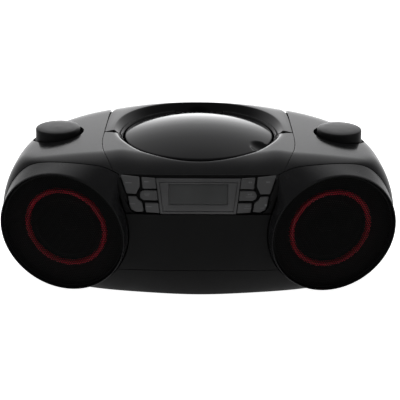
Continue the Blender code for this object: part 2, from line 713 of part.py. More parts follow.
def make_insides():
    box("main_board", (-0.0550, -0.0500, 0.0860), (0.0550, 0.0250, 0.0876), board_green())
    core = box("power_transformer", (-0.1180, 0.0150, 0.0080), (-0.0800, 0.0520, 0.0400), bare_metal(), 0.0010)
    coil = region("transformer_coil", (-0.1150, 0.0100, 0.0140), (-0.0830, 0.0570, 0.0340))
    join(core, coil)
    tray = box("battery_box", (-0.0670, 0.0600, 0.0355), (0.0670, 0.1060, 0.0845), matte_black())
    cut(tray, region("battery_room", (-0.0652, 0.0618, 0.0368), (0.0652, 0.1300, 0.0832)))
    for side in (-1, 1):
        x = side * 0.0638
        box(f"battery_contact_{side_name(side)}", (x - 0.0009, 0.0680, 0.0400), (x + 0.0009, 0.1040, 0.0800),
            bare_metal(), 0.0003)
    inlet = box("power_inlet", (-0.1164, 0.0760, 0.0456), (-0.0936, 0.0960, 0.0624), matte_black(), 0.0008)
    cut(inlet, region("inlet_room", (-0.1135, 0.0790, 0.0485), (-0.0965, 0.1300, 0.0595)))
    socket = round_bar("headphone_socket", 0.0032, (0.100, 0.0830, 0.054), (0.100, 0.1035, 0.054), matte_black(), 24)
    cut(socket, helper(round_bar("socket_bore", 0.0018, (0.100, 0.0870, 0.054), (0.100, 0.1300, 0.054), None, 20)))


# Antenna


def make_antenna():
    x = ANTENNA_PIVOT_X
    base = round_bar("antenna_base", 0.0030, (x, ANTENNA_Y, 0.1034), (x, ANTENNA_Y, 0.1108), bare_metal(), 20)
    slot = region("antenna_fork", (x - 0.0040, ANTENNA_Y - 0.0012, 0.1052), (x + 0.0040, ANTENNA_Y + 0.0012, 0.13))
    cut(base, slot)
    sizes = [("antenna_mast", 0.0026, 0.0021), ("antenna_middle", 0.0019, 0.0015), ("antenna_tip", 0.0012, 0.0)]
    for i, (name, radius, bore) in enumerate(sizes):
        start = x - 0.0040 - 0.0040 * i
        end = ANTENNA_END_X - 0.0030 * i
        tube = round_bar(name, radius, (start, ANTENNA_Y, ANTENNA_Z), (end, ANTENNA_Y, ANTENNA_Z), bare_metal(), 16)
        if bore:
            inside = round_bar(f"{name}_bore", bore, (start - 0.0030, ANTENNA_Y, ANTENNA_Z),
                               (end - 0.01, ANTENNA_Y, ANTENNA_Z), None, 16)
            cut(tube, helper(inside))
        if i == 0:
            join(tube, region("mast_tongue", (start - 0.0010, ANTENNA_Y - 0.0009, ANTENNA_Z - 0.0018),
                              (x + 0.0018, ANTENNA_Y + 0.0009, ANTENNA_Z + 0.0018)))


# Feet


def make_feet():
    for side in (-1, 1):
        for row, y in (("front", -0.078), ("rear", 0.060)):
            x = side * (0.068 if row == "front" else 0.080)
            round_bar(f"foot_{row}_{side_name(side)}", 0.0080, (x, y, 0.0), (x, y, Z_BASE - 0.0003), rubber(), 24)


def main():
    clear_scene()
    outer = cabinet_solid("cabinet_outer", 0.0)
    inner = cabinet_solid("cabinet_inner", WALL)
    panel_inner = cabinet_solid("cabinet_panel_inner", PANEL_WALL)
    clear = cabinet_solid("cabinet_clear", WALL + 0.0004)
    middle = cabinet_solid("cabinet_middle", WALL / 2)
    fat = cabinet_solid("cabinet_fat", -SEAM)
    bores = [helper(speaker_bar(f"bore_{side_name(side)}", side, BORE_RADIUS, -0.03, 0.0137)) for side in (-1, 1)]
    make_base_cover(outer, inner, bores)
    make_front_cabinet(outer, panel_inner, clear, bores)
    make_rear_cover(outer, inner, middle, bores)
    make_battery_door(outer, inner)
    make_surround(outer, inner)
    make_cd_deck(clear)
    make_cd_lid()
    make_cd_player()
    make_handle()
    for side, bore in zip((-1, 1), bores):
        make_shoulder(side, outer, inner, bore)
        make_hood(side, fat)
        make_speaker(side)
        make_knob(side)
    make_keys()
    make_display()
    make_insides()
    make_antenna()
    make_feet()


main()
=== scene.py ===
import functools
import json
import math

import bmesh
import bpy
import numpy as np
from mathutils import Matrix, Vector

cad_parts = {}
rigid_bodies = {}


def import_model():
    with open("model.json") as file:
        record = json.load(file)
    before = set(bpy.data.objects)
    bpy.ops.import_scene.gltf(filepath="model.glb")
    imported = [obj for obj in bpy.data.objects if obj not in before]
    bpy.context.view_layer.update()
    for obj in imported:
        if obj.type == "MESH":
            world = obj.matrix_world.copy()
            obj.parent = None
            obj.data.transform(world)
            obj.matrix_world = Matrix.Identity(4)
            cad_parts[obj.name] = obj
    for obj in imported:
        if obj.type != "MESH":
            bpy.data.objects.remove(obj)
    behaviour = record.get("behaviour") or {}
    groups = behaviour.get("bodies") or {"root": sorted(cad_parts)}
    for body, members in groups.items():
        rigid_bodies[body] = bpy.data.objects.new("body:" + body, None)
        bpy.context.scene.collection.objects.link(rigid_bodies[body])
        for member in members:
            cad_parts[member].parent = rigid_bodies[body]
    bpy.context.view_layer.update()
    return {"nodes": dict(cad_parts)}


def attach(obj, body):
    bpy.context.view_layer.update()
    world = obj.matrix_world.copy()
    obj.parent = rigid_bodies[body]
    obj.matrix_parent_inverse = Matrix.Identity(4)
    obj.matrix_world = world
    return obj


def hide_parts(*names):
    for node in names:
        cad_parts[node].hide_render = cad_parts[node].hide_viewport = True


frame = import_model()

# Metres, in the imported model's frame: +Z up, front towards -Y, the CD lid centred on the Z axis.

# Cabinet form
HALF_WIDTH = 0.1950
Y_WIDEST = -0.045
Y_BACK = 0.1164
Y_FRONT = -0.105
Z_MIDDLE = 0.060
Z_APEX = 0.190
Z_LOWEST = -0.020
Z_BASE = 0.0012
PLAN_POWER_BACK = 2.5
PLAN_POWER_FRONT = 2.8
PROFILE_POWER = 2.3
LOWER_POWER = 2.2
LOWER_POWER_MORE = 0.8
BLEND_POWER = 20.0
WALL = 0.0025
SEAM = 0.0006
Z_BASE_SEAM = 0.0315
Z_TOP_SEAM = 0.0880
Y_SIDE_SEAM = -0.0680
Z_DECK_TOP = 0.1410
LID_DIP = 0.0035
X_DIP = 0.050
Y_DIP = -0.020
DIP_FADE = 0.030
Y_ROLL = -0.060
X_SIDE_ROLL = 0.070
SIDE_ROLL_FADE = 0.025
SIDE_ROLL_BACK = 0.006
ROLL_CURVE = 11.2
SIDE_ROLL_LESS = 1.7
X_SHOULDER_SLOPE = 0.085
SHOULDER_SLOPE_WIDTH = 0.070
SHOULDER_DROP = 0.0045
CROWN = 0.0010
BLOCK_HALF_WIDTH = 0.0950
Y_HANDLE_GAP = -0.0085
DOOR_LOW = (-0.0700, 0.10, 0.0352)
DOOR_HIGH = (0.0700, 0.14, 0.0848)
DOOR_GAP = 0.0006

# CD lid and handle
LID_RADIUS = 0.075
LID_Z = 0.135
LID_DOME = 0.0130
LID_WALL = 0.0022
LID_SKIRT = 0.0045
LID_HINGE = Vector((0, 0.0785, 0.1320))
NOTCH_RADIUS = 0.0725
NOTCH_ANGLE = math.radians(-34)
NOTCH_LENGTH = 0.0095
NOTCH_HALF_WIDTH = 0.0105
NOTCH_DEPTH = 0.0042
WELL_RADIUS = 0.0765
BOWL_RADIUS = WELL_RADIUS + 0.0004
BOWL_EDGE_Z = LID_Z - 0.0006
BOWL_SLOPE = 0.85
BOWL_SLOPE_MORE = 0.35
Y_BOWL_STEEP = -0.004
BOWL_POWER = 60.0
HANDLE_PIVOT = Vector((0, 0.006, 0.1335))
HANDLE_BACK_Y = 0.1035
HANDLE_BOTTOM_Z = 0.1195
HANDLE_CREST_Z = 0.1413
HANDLE_FOOT_Z = 0.1366
HANDLE_END_RADIUS = 0.0152

# Speakers
SPEAKER = Vector((0.1303, -0.100, 0.0687))
SPEAKER_YAW = math.radians(13.1)
SPEAKER_PITCH = math.radians(-4.3)
GRILLE_RADIUS = 0.0608
RIM_RADIUS = 0.0622
HOOD_RADIUS = 0.0641
HOOD_DEPTH = 0.0220
HOOD_SPREAD_IN = 0.0128
HOOD_SPREAD_OUT = 0.0067
HOOD_REACH = 0.0222
HOLE_PITCH = 0.0023
HOLE_RADIUS = 0.00092
HOLES_OUT_TO = 0.0592
SHEET_THICKNESS = 0.0006
SHEET_BACK = 0.0016
SHEET_DOME = 0.0024

# Knobs
KNOB_X = 0.1430
KNOB_Y = -0.002
KNOB_RADIUS = 0.0224
KNOB_TOP_Z = 0.1437
KNOB_BOTTOM_Z = 0.1290
STEM_END_Z = 0.1190
STEM_RADIUS = 0.0030
POCKET_RADIUS = 0.0260
POCKET_FLOOR_Z = 0.1275

# Display band
BAND_TOP_Z = 0.1242
BAND_BOTTOM_Z = 0.0906
BAND_TOP_HALF = 0.0795
BAND_BOTTOM_HALF = 0.0690
LIP_Z = 0.1240
FRAME_TOP_HALF = 0.0396
FRAME_BOTTOM_HALF = 0.0356
FRAME_SUNK = 0.0007
WINDOW_HALF = 0.0277
WINDOW_BOTTOM_Z = 0.0995
WINDOW_TOP_Z = 0.1191
KEY_SUNK = 0.0010
KEY_THICK = 0.0016
BACKING_TOP_Z = 0.1270
BACKING_BOTTOM_Z = 0.0896
BACKING_FRONT = 0.0040
BACKING_REAR = 0.0050

RING_POINTS = 288
SIDES = ((-1, "left"), (1, "right"))


# Materials


def new_material(name):
    made = bpy.data.materials.new(name)
    made.use_nodes = True
    return made, made.node_tree.nodes, made.node_tree.links


def ranged_noise(nodes, links, scale, detail, low, high, stretch=None):
    """A noise pattern in object space, spread between two values."""
    place = nodes.new("ShaderNodeTexCoord")
    noise = nodes.new("ShaderNodeTexNoise")
    noise.inputs["Scale"].default_value = scale
    noise.inputs["Detail"].default_value = detail
    vector = place.outputs["Object"]
    if stretch:
        mapping = nodes.new("ShaderNodeMapping")
        mapping.inputs["Scale"].default_value = stretch
        links.new(vector, mapping.inputs["Vector"])
        vector = mapping.outputs["Vector"]
    links.new(vector, noise.inputs["Vector"])
    spread = nodes.new("ShaderNodeMapRange")
    spread.inputs["From Min"].default_value = 0.3
    spread.inputs["From Max"].default_value = 0.7
    spread.inputs["To Min"].default_value = low
    spread.inputs["To Max"].default_value = high
    links.new(noise.outputs["Fac"], spread.inputs["Value"])
    return spread.outputs["Result"]


def moulded(name, colour, roughness, grain=1500.0, depth=0.00001, rounding=0.0005, metallic=0.0, spread=0.04,
            stretch=None, shade=0.12, ior=1.5):
    """Moulded or painted: slightly uneven in colour and gloss, with a fine grain and softened edges."""
    made, nodes, links = new_material(name)
    shader = nodes["Principled BSDF"]
    shader.inputs["Metallic"].default_value = metallic
    shader.inputs["IOR"].default_value = ior
    tint = nodes.new("ShaderNodeMix")
    tint.data_type = "RGBA"
    tint.inputs[6].default_value = (*[c * (1 - shade) for c in colour], 1)
    tint.inputs[7].default_value = (*[c * (1 + shade) for c in colour], 1)
    links.new(ranged_noise(nodes, links, 35.0, 3.0, 0.0, 1.0, stretch), tint.inputs[0])
    links.new(tint.outputs[2], shader.inputs["Base Color"])
    gloss = ranged_noise(nodes, links, 90.0, 4.0, roughness - spread, roughness + spread, stretch)
    links.new(gloss, shader.inputs["Roughness"])
    bump = nodes.new("ShaderNodeBump")
    bump.inputs["Distance"].default_value = depth
    bump.inputs["Strength"].default_value = 1.0
    links.new(ranged_noise(nodes, links, grain, 2.0, 0.0, 1.0, stretch), bump.inputs["Height"])
    if rounding:
        bevel = nodes.new("ShaderNodeBevel")
        bevel.samples = 4
        bevel.inputs["Radius"].default_value = rounding
        links.new(bevel.outputs["Normal"], bump.inputs["Normal"])
    links.new(bump.outputs["Normal"], shader.inputs["Normal"])
    return made


GLOSS = moulded("gloss_black_plastic", (0.0040, 0.0040, 0.0044), 0.10, 700.0, 0.000002, 0.0006, 0, 0.03)
SHELL = moulded("shell_black_plastic", (0.0060, 0.0060, 0.0064), 0.16, 1200.0, 0.000003, 0.0006, 0, 0.03, ior=1.68)
SATIN = moulded("satin_black_plastic", (0.0060, 0.0060, 0.0064), 0.24, 2200.0, 0.000008, 0.0005, 0, 0.04)
MATTE = moulded("matte_black_plastic", (0.0032, 0.0032, 0.0034), 0.42, 2000.0, 0.00002, 0.0005, 0, 0.05)
KNOB = moulded("knob_plastic", (0.0070, 0.0070, 0.0073), 0.34, 2600.0, 0.000010, 0.0006, 0, 0.04)
KEY = moulded("key_plastic", (0.050, 0.050, 0.051), 0.38, 2600.0, 0.000010, 0.0004, 0, 0.04)
DARK = moulded("inner_plastic", (0.0025, 0.0025, 0.0025), 0.70, 1500.0, 0.00002, 0, 0, 0.05)
GRILLE = moulded("grille_paint", (0.0020, 0.0020, 0.0021), 0.50, 3000.0, 0.000006, 0, 0.0, 0.05, ior=1.32)
RED = moulded("red_trim_paint", (0.62, 0.008, 0.034), 0.32, 1800.0, 0.00001, 0.0004, 0, 0.04)
CONE = moulded("cone_paper", (0.0030, 0.0030, 0.0030), 0.75, 900.0, 0.00010, 0, 0, 0.08)
RUBBER = moulded("foot_rubber", (0.012, 0.012, 0.012), 0.80, 1600.0, 0.00004, 0.0005, 0, 0.06)
CHROME = moulded("bright_metal", (0.72, 0.72, 0.74), 0.16, 900.0, 0.000002, 0.0003, 1.0, 0.05, (0.05, 1, 1), 0.05)
STEEL = moulded("plain_steel", (0.42, 0.42, 0.43), 0.36, 1200.0, 0.000006, 0.0004, 1.0, 0.08, (1, 1, 0.06), 0.08)
BOARD = moulded("board_green", (0.012, 0.075, 0.030), 0.42, 500.0, 0.00003, 0.0003, 0, 0.08)
PRINT = moulded("printed_marks", (0.11, 0.11, 0.112), 0.50, 2600.0, 0.000004, 0, 0, 0.05)
LCD = moulded("display_glass", (0.036, 0.037, 0.037), 0.22, 2600.0, 0.000001, 0.0003, 0, 0.03)


def paint(obj, material):
    obj.data.materials.clear()
    obj.data.materials.append(material)
    return obj


# Mesh helpers


def placed(name, mesh, material):
    obj = bpy.data.objects.new(name, mesh)
    bpy.context.scene.collection.objects.link(obj)
    return paint(obj, material)


def mesh_of(name, points, faces):
    mesh = bpy.data.meshes.new(name)
    mesh.from_pydata([tuple(p) for p in points], [], faces)
    shape = bmesh.new()
    shape.from_mesh(mesh)
    bmesh.ops.remove_doubles(shape, verts=shape.verts, dist=1e-6)
    bmesh.ops.recalc_face_normals(shape, faces=shape.faces)
    shape.to_mesh(mesh)
    shape.free()
    return mesh


def around(count):
    """Angles of a full turn in equal steps."""
    return [math.tau * i / count for i in range(count)]


def polar(radius, angle, height=0.0):
    return Vector((radius * math.cos(angle), radius * math.sin(angle), height))


def loft(name, rings, material=None, caps=True):
    """A skin through closed rings that have the same number of points."""
    count = len(rings[0])
    points = [p for ring in rings for p in ring]
    faces = []
    for row in range(len(rings) - 1):
        for i in range(count):
            j = (i + 1) % count
            faces.append((row * count + i, row * count + j, (row + 1) * count + j, (row + 1) * count + i))
    if caps:
        faces.append(tuple(reversed(range(count))))
        faces.append(tuple(range((len(rings) - 1) * count, len(rings) * count)))
    return placed(name, mesh_of(name, points, faces), material or DARK)


def slab(name, low, high, material=None):
    low_x, low_y, low_z = low
    high_x, high_y, high_z = high
    ring = [(low_x, low_y), (high_x, low_y), (high_x, high_y), (low_x, high_y)]
    return loft(name, [[(x, y, z) for x, y in ring] for z in (low_z, high_z)], material)


def rod(name, radius, start, end, material=None, points=64):
    start, end = Vector(start), Vector(end)
    turn = (end - start).normalized().to_track_quat("Z", "Y").to_matrix()
    circle = [turn @ polar(radius, a) for a in around(points)]
    return loft(name, [[centre + p for p in circle] for centre in (start, end)], material)


def lathe(name, profile, at, material, steps=96):
    """A profile of radius and height turned about the local Z axis. A ring's profile ends where it began."""
    rings = [[at @ polar(radius, a, height) for a in around(steps)] for radius, height in profile]
    return loft(name, rings, material, caps=profile[0] != profile[-1])


def combine(obj, *steps):
    """Booleans in turn, each a pair of operation and other object, then the result as the object's own mesh."""
    for operation, other in steps:
        change = obj.modifiers.new(operation, "BOOLEAN")
        change.operation = operation
        change.object = other
        change.solver = "MANIFOLD"
    graph = bpy.context.evaluated_depsgraph_get()
    obj.data = bpy.data.meshes.new_from_object(obj.evaluated_get(graph), depsgraph=graph)
    obj.modifiers.clear()
    return obj


def cut(obj, *others):
    return combine(obj, *[("DIFFERENCE", other) for other in others])


def keep(obj, other):
    return combine(obj, ("INTERSECT", other))


def copy_of(obj, name, material=None):
    return placed(name, obj.data.copy(), material or DARK)


def smooth(obj, angle=35.0):
    obj.data.shade_smooth()
    obj.data.set_sharp_from_angle(angle=math.radians(angle))
    return obj


def soften(obj, width, segments=2, angle=35.0):
    """Rounds the piece's edges, and leaves the modifier on it."""
    edge = obj.modifiers.new("edges", "BEVEL")
    edge.width = width
    edge.segments = segments
    edge.limit_method = "ANGLE"
    edge.angle_limit = math.radians(angle)
    edge.harden_normals = True
    return smooth(obj, angle)


# Cabinet surface


def plan_ratio(x, y, inset=0.0):
    """How far out a point is, seen from above: 0 at the middle of the widest line and 1 on it."""
    depth = np.where(y > Y_WIDEST, Y_BACK - Y_WIDEST, Y_WIDEST - Y_FRONT) - inset
    power = np.where(y > Y_WIDEST, PLAN_POWER_BACK, PLAN_POWER_FRONT)
    return (np.abs(x / (HALF_WIDTH - inset)) ** power + np.abs((y - Y_WIDEST) / depth) ** power) ** (1 / power)


def eased(value):
    """A smooth step from 0 to 1."""
    share = np.clip(value, 0.0, 1.0)
    return share * share * (3 - 2 * share)


def flat_top(x, y):
    """Height of the cabinet's level top, which dips before the CD lid and rolls over in front."""
    middle = 1 - eased((np.abs(x) - X_DIP) / DIP_FADE)
    dip = LID_DIP * middle * eased((Y_DIP - y) / DIP_FADE)
    side = eased((np.abs(x) - X_SIDE_ROLL) / SIDE_ROLL_FADE)
    past_edge = np.maximum(0.0, Y_ROLL - SIDE_ROLL_BACK * side - y)
    roll = (ROLL_CURVE - SIDE_ROLL_LESS * side) * past_edge**2
    slope = SHOULDER_DROP * (np.maximum(0.0, np.abs(x) - X_SHOULDER_SLOPE) / SHOULDER_SLOPE_WIDTH) ** 1.5
    return Z_DECK_TOP - dip - roll - slope - CROWN * (x / BLOCK_HALF_WIDTH) ** 2


def bowl_top(x, y):
    """Height of the slope that falls to the CD lid's edge, steeper in front."""
    slope = BOWL_SLOPE + BOWL_SLOPE_MORE * eased((Y_BOWL_STEEP - y) / DIP_FADE)
    return BOWL_EDGE_Z + slope * (np.hypot(x, y) - BOWL_RADIUS)


def top_height(x, y, inset=0.0, bowl=False):
    """Height of the cabinet's upper surface."""
    out = np.minimum(plan_ratio(x, y, inset), 1.0)
    level = (1 - out**PROFILE_POWER) ** (1 / PROFILE_POWER)
    rise = np.maximum(level * (Z_APEX - Z_MIDDLE - inset), 0.0001)
    flat = flat_top(x, y) - inset - Z_MIDDLE
    height = (rise**-BLEND_POWER + flat**-BLEND_POWER) ** (-1 / BLEND_POWER)
    if bowl:
        slope = np.maximum(bowl_top(x, y) - inset - Z_MIDDLE, 0.02)
        height = (height**-BOWL_POWER + slope**-BOWL_POWER) ** (-1 / BOWL_POWER)
    return Z_MIDDLE + height


def lower_power(x, y):
    """How square the cabinet's lower half is: more so in front and behind than at the sides."""
    return LOWER_POWER + LOWER_POWER_MORE * (y - Y_WIDEST) ** 2 / np.maximum((y - Y_WIDEST) ** 2 + x**2, 1e-12)


def surface_gap(x, y, z):
    """Zero on the cabinet's outer surface and positive outside it."""
    out = np.minimum(plan_ratio(x, y), 3.0)
    flat = flat_top(x, y) - Z_MIDDLE
    up = np.clip(z - Z_MIDDLE, 1e-5, flat * 0.99999)
    rise = (up**-BLEND_POWER - flat**-BLEND_POWER) ** (-1 / BLEND_POWER)
    above = out**PROFILE_POWER + (rise / (Z_APEX - Z_MIDDLE)) ** PROFILE_POWER - 1
    above = np.where(z - Z_MIDDLE >= flat * 0.99999, 1.0, above)
    power = lower_power(x, y)
    below = out**power + np.abs((Z_MIDDLE - z) / (Z_MIDDLE - Z_LOWEST)) ** power - 1
    return np.where(z > Z_MIDDLE, above, below)


def surface_normals(points, bowl=False):
    """Outward directions of the cabinet's surface at points on it."""
    x, y, z = points.T
    step = 0.00005
    sides = [surface_gap(*(points + shift).T) - surface_gap(*(points - shift).T) for shift in np.eye(3) * step]
    outwards = np.stack(sides, axis=1)
    slope_x = top_height(x + step, y, 0, bowl) - top_height(x - step, y, 0, bowl)
    slope_y = top_height(x, y + step, 0, bowl) - top_height(x, y - step, 0, bowl)
    over = np.stack([-slope_x, -slope_y, np.full_like(x, 2 * step)], axis=1)
    steep = (plan_ratio(x, y) > 0.88) | (z < Z_MIDDLE + 0.02)
    found = np.where(steep[:, None], outwards, over)
    return found / np.maximum(np.linalg.norm(found, axis=1, keepdims=True), 1e-12)


def polish(obj, bowl=False):
    """Gives the part of a mesh that lies on the cabinet's surface the surface's own normals."""
    mesh = obj.data
    smooth(obj)
    points = np.zeros(len(mesh.vertices) * 3)
    mesh.vertices.foreach_get("co", points)
    points = points.reshape(-1, 3)
    normals = surface_normals(points, bowl)
    x, y, z = points.T
    close = np.abs(surface_gap(x, y, z)) < 0.02
    close |= np.abs(top_height(x, y, 0, bowl) - z) < 0.00025
    corners = np.zeros(len(mesh.loops) * 3, np.float32)
    mesh.corner_normals.foreach_get("vector", corners)
    corners = corners.reshape(-1, 3)
    indices = np.zeros(len(mesh.loops), np.int32)
    mesh.loops.foreach_get("vertex_index", indices)
    for face in mesh.polygons:
        span = slice(face.loop_start, face.loop_start + face.loop_total)
        held = indices[span]
        if close[held].all() and float(np.dot(normals[held].mean(0), face.normal)) > 0.9:
            corners[span] = normals[held]
    mesh.normals_split_custom_set(corners)
    return obj


def level_ring(out, below, inset, bowl):
    """One ring of the cabinet's skin, this far out from its middle."""
    angles = np.arange(RING_POINTS) * math.tau / RING_POINTS
    c, s = np.cos(angles), np.sin(angles)
    depth = np.where(s > 0, Y_BACK - Y_WIDEST, Y_WIDEST - Y_FRONT) - inset
    power = np.where(s > 0, PLAN_POWER_BACK, PLAN_POWER_FRONT)
    radius = (np.abs(c / (HALF_WIDTH - inset)) ** power + np.abs(s / depth) ** power) ** (-1 / power)
    if below:
        power = LOWER_POWER + LOWER_POWER_MORE * s**2
        drop = (Z_MIDDLE - Z_BASE - inset) / (Z_MIDDLE - Z_LOWEST - inset) * below
        reach = (1 - drop**power) ** (1 / power) * radius
        x, y = reach * c, Y_WIDEST + reach * s
        z = np.full(RING_POINTS, Z_MIDDLE - below * (Z_MIDDLE - Z_BASE - inset))
    else:
        x, y = out * radius * c, Y_WIDEST + out * radius * s
        z = top_height(x, y, inset, bowl) if out < 1 else np.full(RING_POINTS, Z_MIDDLE)
    return list(zip(x, y, z))


def cabinet(name, inset=0.0, bowl=False):
    """The whole cabinet's outer form, made smaller by inset on every side."""
    steep = [math.sin(t * math.pi / 2) ** (2 / PROFILE_POWER) for t in np.linspace(1, 0.45, 34)]
    gentle = list(np.arange(steep[-1] - 0.012, 0.05, -0.012))
    rings = [level_ring(1.0, below, inset, bowl) for below in np.linspace(1, 0.04, 16)]
    rings += [level_ring(out, 0, inset, bowl) for out in [*steep, *gentle]]
    return loft(name, rings)


def speaker_frame(side):
    """A matrix whose +Z runs out of the grille, from the middle of its rim."""
    level = math.cos(SPEAKER_PITCH)
    out = Vector((side * math.sin(SPEAKER_YAW) * level, -math.cos(SPEAKER_YAW) * level, math.sin(SPEAKER_PITCH)))
    across = Vector((0, 0, 1)).cross(out).normalized()
    turn = Matrix((across, out.cross(across), out)).transposed().to_4x4()
    return Matrix.Translation((side * SPEAKER.x, SPEAKER.y, SPEAKER.z)) @ turn


def surface_radius(side, angle, depth):
    """How far from a speaker's axis the cabinet's surface is, in this direction and this far behind the rim."""
    frame_at = speaker_frame(side)
    radii = np.linspace(0.058, 0.084, 131)
    points = [frame_at @ polar(r, angle, -depth) for r in radii]
    gaps = surface_gap(*np.array(points).T)
    outside = np.nonzero(gaps > 0)[0]
    if not len(outside) or outside[0] == 0:
        return float(radii[-1])
    i = outside[0]
    return float(radii[i] - (radii[i] - radii[i - 1]) * gaps[i] / (gaps[i] - gaps[i - 1]))


@functools.cache
def hood_radius(side, angle):
    """The hood's radius at HOOD_DEPTH behind the grille's rim: it spreads to the CD lid's side and outwards."""
    from_top = math.atan2(side * math.cos(angle), math.sin(angle))
    widest, rest = math.radians(40), math.radians(25)
    slack = 0.0035
    if from_top > 0:
        spread = HOOD_SPREAD_OUT * math.sin(from_top) ** 2
        slack *= 1 - eased((from_top - math.radians(80)) / math.radians(20))
    elif -from_top < widest:
        spread = HOOD_SPREAD_IN * math.sin(-from_top / widest * math.pi / 2) ** 3.2
    else:
        spread = HOOD_SPREAD_IN * math.cos(min((-from_top - widest) / rest, 1.0) * math.pi / 2) ** 2
        slack *= 1 - eased((-from_top - widest) / math.radians(8))
    longest = HOOD_RADIUS + 0.0005 * (1 - math.sin(angle)) + spread + slack
    return float(min(longest, surface_radius(side, angle, HOOD_DEPTH)))


def hood_point(side, angle, depth, extra=0.0):
    """A point on the hood's outside, this far behind the grille's rim."""
    share = min(max(depth, 0.0), HOOD_REACH) / HOOD_DEPTH
    radius = RIM_RADIUS + (hood_radius(side, angle) - RIM_RADIUS) * share + extra
    return speaker_frame(side) @ polar(radius, angle, -depth)


def seam_depth(side, angle):
    """How far behind the rim the hood's outside meets the cabinet."""
    depths = np.linspace(-0.002, HOOD_REACH, 140)
    points = np.array([hood_point(side, angle, d) for d in depths])
    gaps = surface_gap(*points.T)
    inside = np.nonzero(gaps < 0)[0]
    return float(depths[inside[0]]) if len(inside) else HOOD_REACH


# Helper solids shared by the cabinet's shells

OUTER = cabinet("form_outer")
INNER = cabinet("form_inner", WALL)


def seam_bore(side):
    """The room that a speaker's hood takes in the cabinet, with a fine gap round it."""
    gap = 0.0007
    depths = ((-0.030, gap), (0.0, gap), (HOOD_REACH, gap), (HOOD_REACH + 0.001, gap - 0.001), (0.033, gap - 0.012))
    return loft("form_bore", [[hood_point(side, a, depth, extra) for a in around(144)] for depth, extra in depths])


BORES = [seam_bore(side) for side, _ in SIDES]


def shell(name, material, region, outer=OUTER, inner=INNER):
    """The part of the cabinet's wall that lies in a region."""
    piece = copy_of(outer, name, material)
    return combine(piece, ("INTERSECT", region), ("DIFFERENCE", inner))


def surround_side(side, gap=0.0):
    """The side edge of the surface in front of the CD lid, from the handle forwards."""
    points = [(0.0950, Y_HANDLE_GAP), (0.0945, -0.035), (0.0930, -0.052), (0.0905, -0.066), (0.0860, -0.080),
              (0.0795, -0.094), (0.0750, -0.103), (0.0720, -0.130)]
    return [(side * (x + gap), y) for x, y in points]


def curved(points, count):
    """A smooth curve with count points through a few."""
    points = np.array(points, float)
    along = np.concatenate([[0], np.cumsum(np.linalg.norm(np.diff(points, axis=0), axis=1))])
    slopes = np.gradient(points, along, axis=0)
    found = []
    for at in np.linspace(0, along[-1], count):
        i = min(int(np.searchsorted(along, at, side="right")) - 1, len(points) - 2)
        span = along[i + 1] - along[i]
        t = (at - along[i]) / span
        found.append(
            (2 * t**3 - 3 * t**2 + 1) * points[i] + (t**3 - 2 * t**2 + t) * span * slopes[i]
            + (3 * t**2 - 2 * t**3) * points[i + 1] + (t**3 - t**2) * span * slopes[i + 1]
        )
    return [tuple(p) for p in found]


def make_shoulder(side, where):
    name = f"shoulder_{where}"
    edge = [(side * (BLOCK_HALF_WIDTH + SEAM), 0.3), *curved(surround_side(side, SEAM), 60)]
    outline = [*edge, (side * 0.3, -0.13), (side * 0.3, 0.3)]
    region = loft("form_region", [[(x, y, z) for x, y in outline] for z in (Z_TOP_SEAM + SEAM / 2, 0.2)])
    cut(region, slab("form_rear", (-0.0986, 0.09, 0), (0.0986, 0.31, 0.1040)), band_opening())
    at = Vector((side * KNOB_X, KNOB_Y, 0))
    floor, above = at + Vector((0, 0, POCKET_FLOOR_Z)), at + Vector((0, 0, 0.2))
    hole = rod("form_hole", POCKET_RADIUS, floor, above, None, 128)
    cup = rod("form_cup", POCKET_RADIUS + 0.0016, floor - Vector((0, 0, 0.0022)), above, None, 128)
    room = cut(copy_of(INNER, "form_room"), cup)
    cover = shell(f"{name}_cover", SHELL, region, OUTER, room)
    cut(cover, hole, rod("form_stem", STEM_RADIUS + 0.0006, at + Vector((0, 0, 0.1)), above), *BORES)
    polish(cover)
    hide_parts(name)
    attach(cover, "cabinet")


def band_opening():
    """The room that the display and the keys take in the cabinet's front."""
    bottom = Z_TOP_SEAM - SEAM / 2
    right = [(BAND_BOTTOM_HALF, bottom), (BAND_BOTTOM_HALF, BAND_BOTTOM_Z), (BAND_TOP_HALF, BAND_TOP_Z),
             (BAND_TOP_HALF, 0.20)]
    outline = [(-x, z) for x, z in reversed(right)] + right
    return loft("form_band", [[(x, y, z) for x, z in outline] for y in (-0.13, -0.080)])


def make_surround():
    right, left = curved(surround_side(1), 60), curved(surround_side(-1), 60)
    rear = Y_HANDLE_GAP - 0.0014
    outline = [(BLOCK_HALF_WIDTH, rear), *right[1:], *reversed(left[1:]), (-BLOCK_HALF_WIDTH, rear)]
    region = loft("form_region", [[(x, y, z) for x, y in outline] for z in (LIP_Z, 0.2)])
    piece = shell("cd_surround_cover", SHELL, region, cabinet("form_bowl", 0, True), cabinet("form_under", WALL, True))
    cut(piece, rod("form_lid", WELL_RADIUS + 0.0004, (0, 0, 0.1), (0, 0, 0.2), None, 256), *BORES)
    polish(piece, True)
    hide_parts("cd_surround")
    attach(piece, "cabinet")


def make_channel():
    """The floor of the fine gap beside the handle."""
    skin, under = cabinet("form_low_skin", 0.0030), cabinet("form_low_under", 0.0045)
    for side, where in SIDES:
        low_x, high_x = sorted((side * 0.0944, side * 0.0975))
        region = slab("form_region", (low_x, -0.0060, 0.095), (high_x, 0.1100, 0.2))
        strip = smooth(shell(f"handle_channel_{where}", DARK, region, skin, under))
        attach(strip, "cabinet")


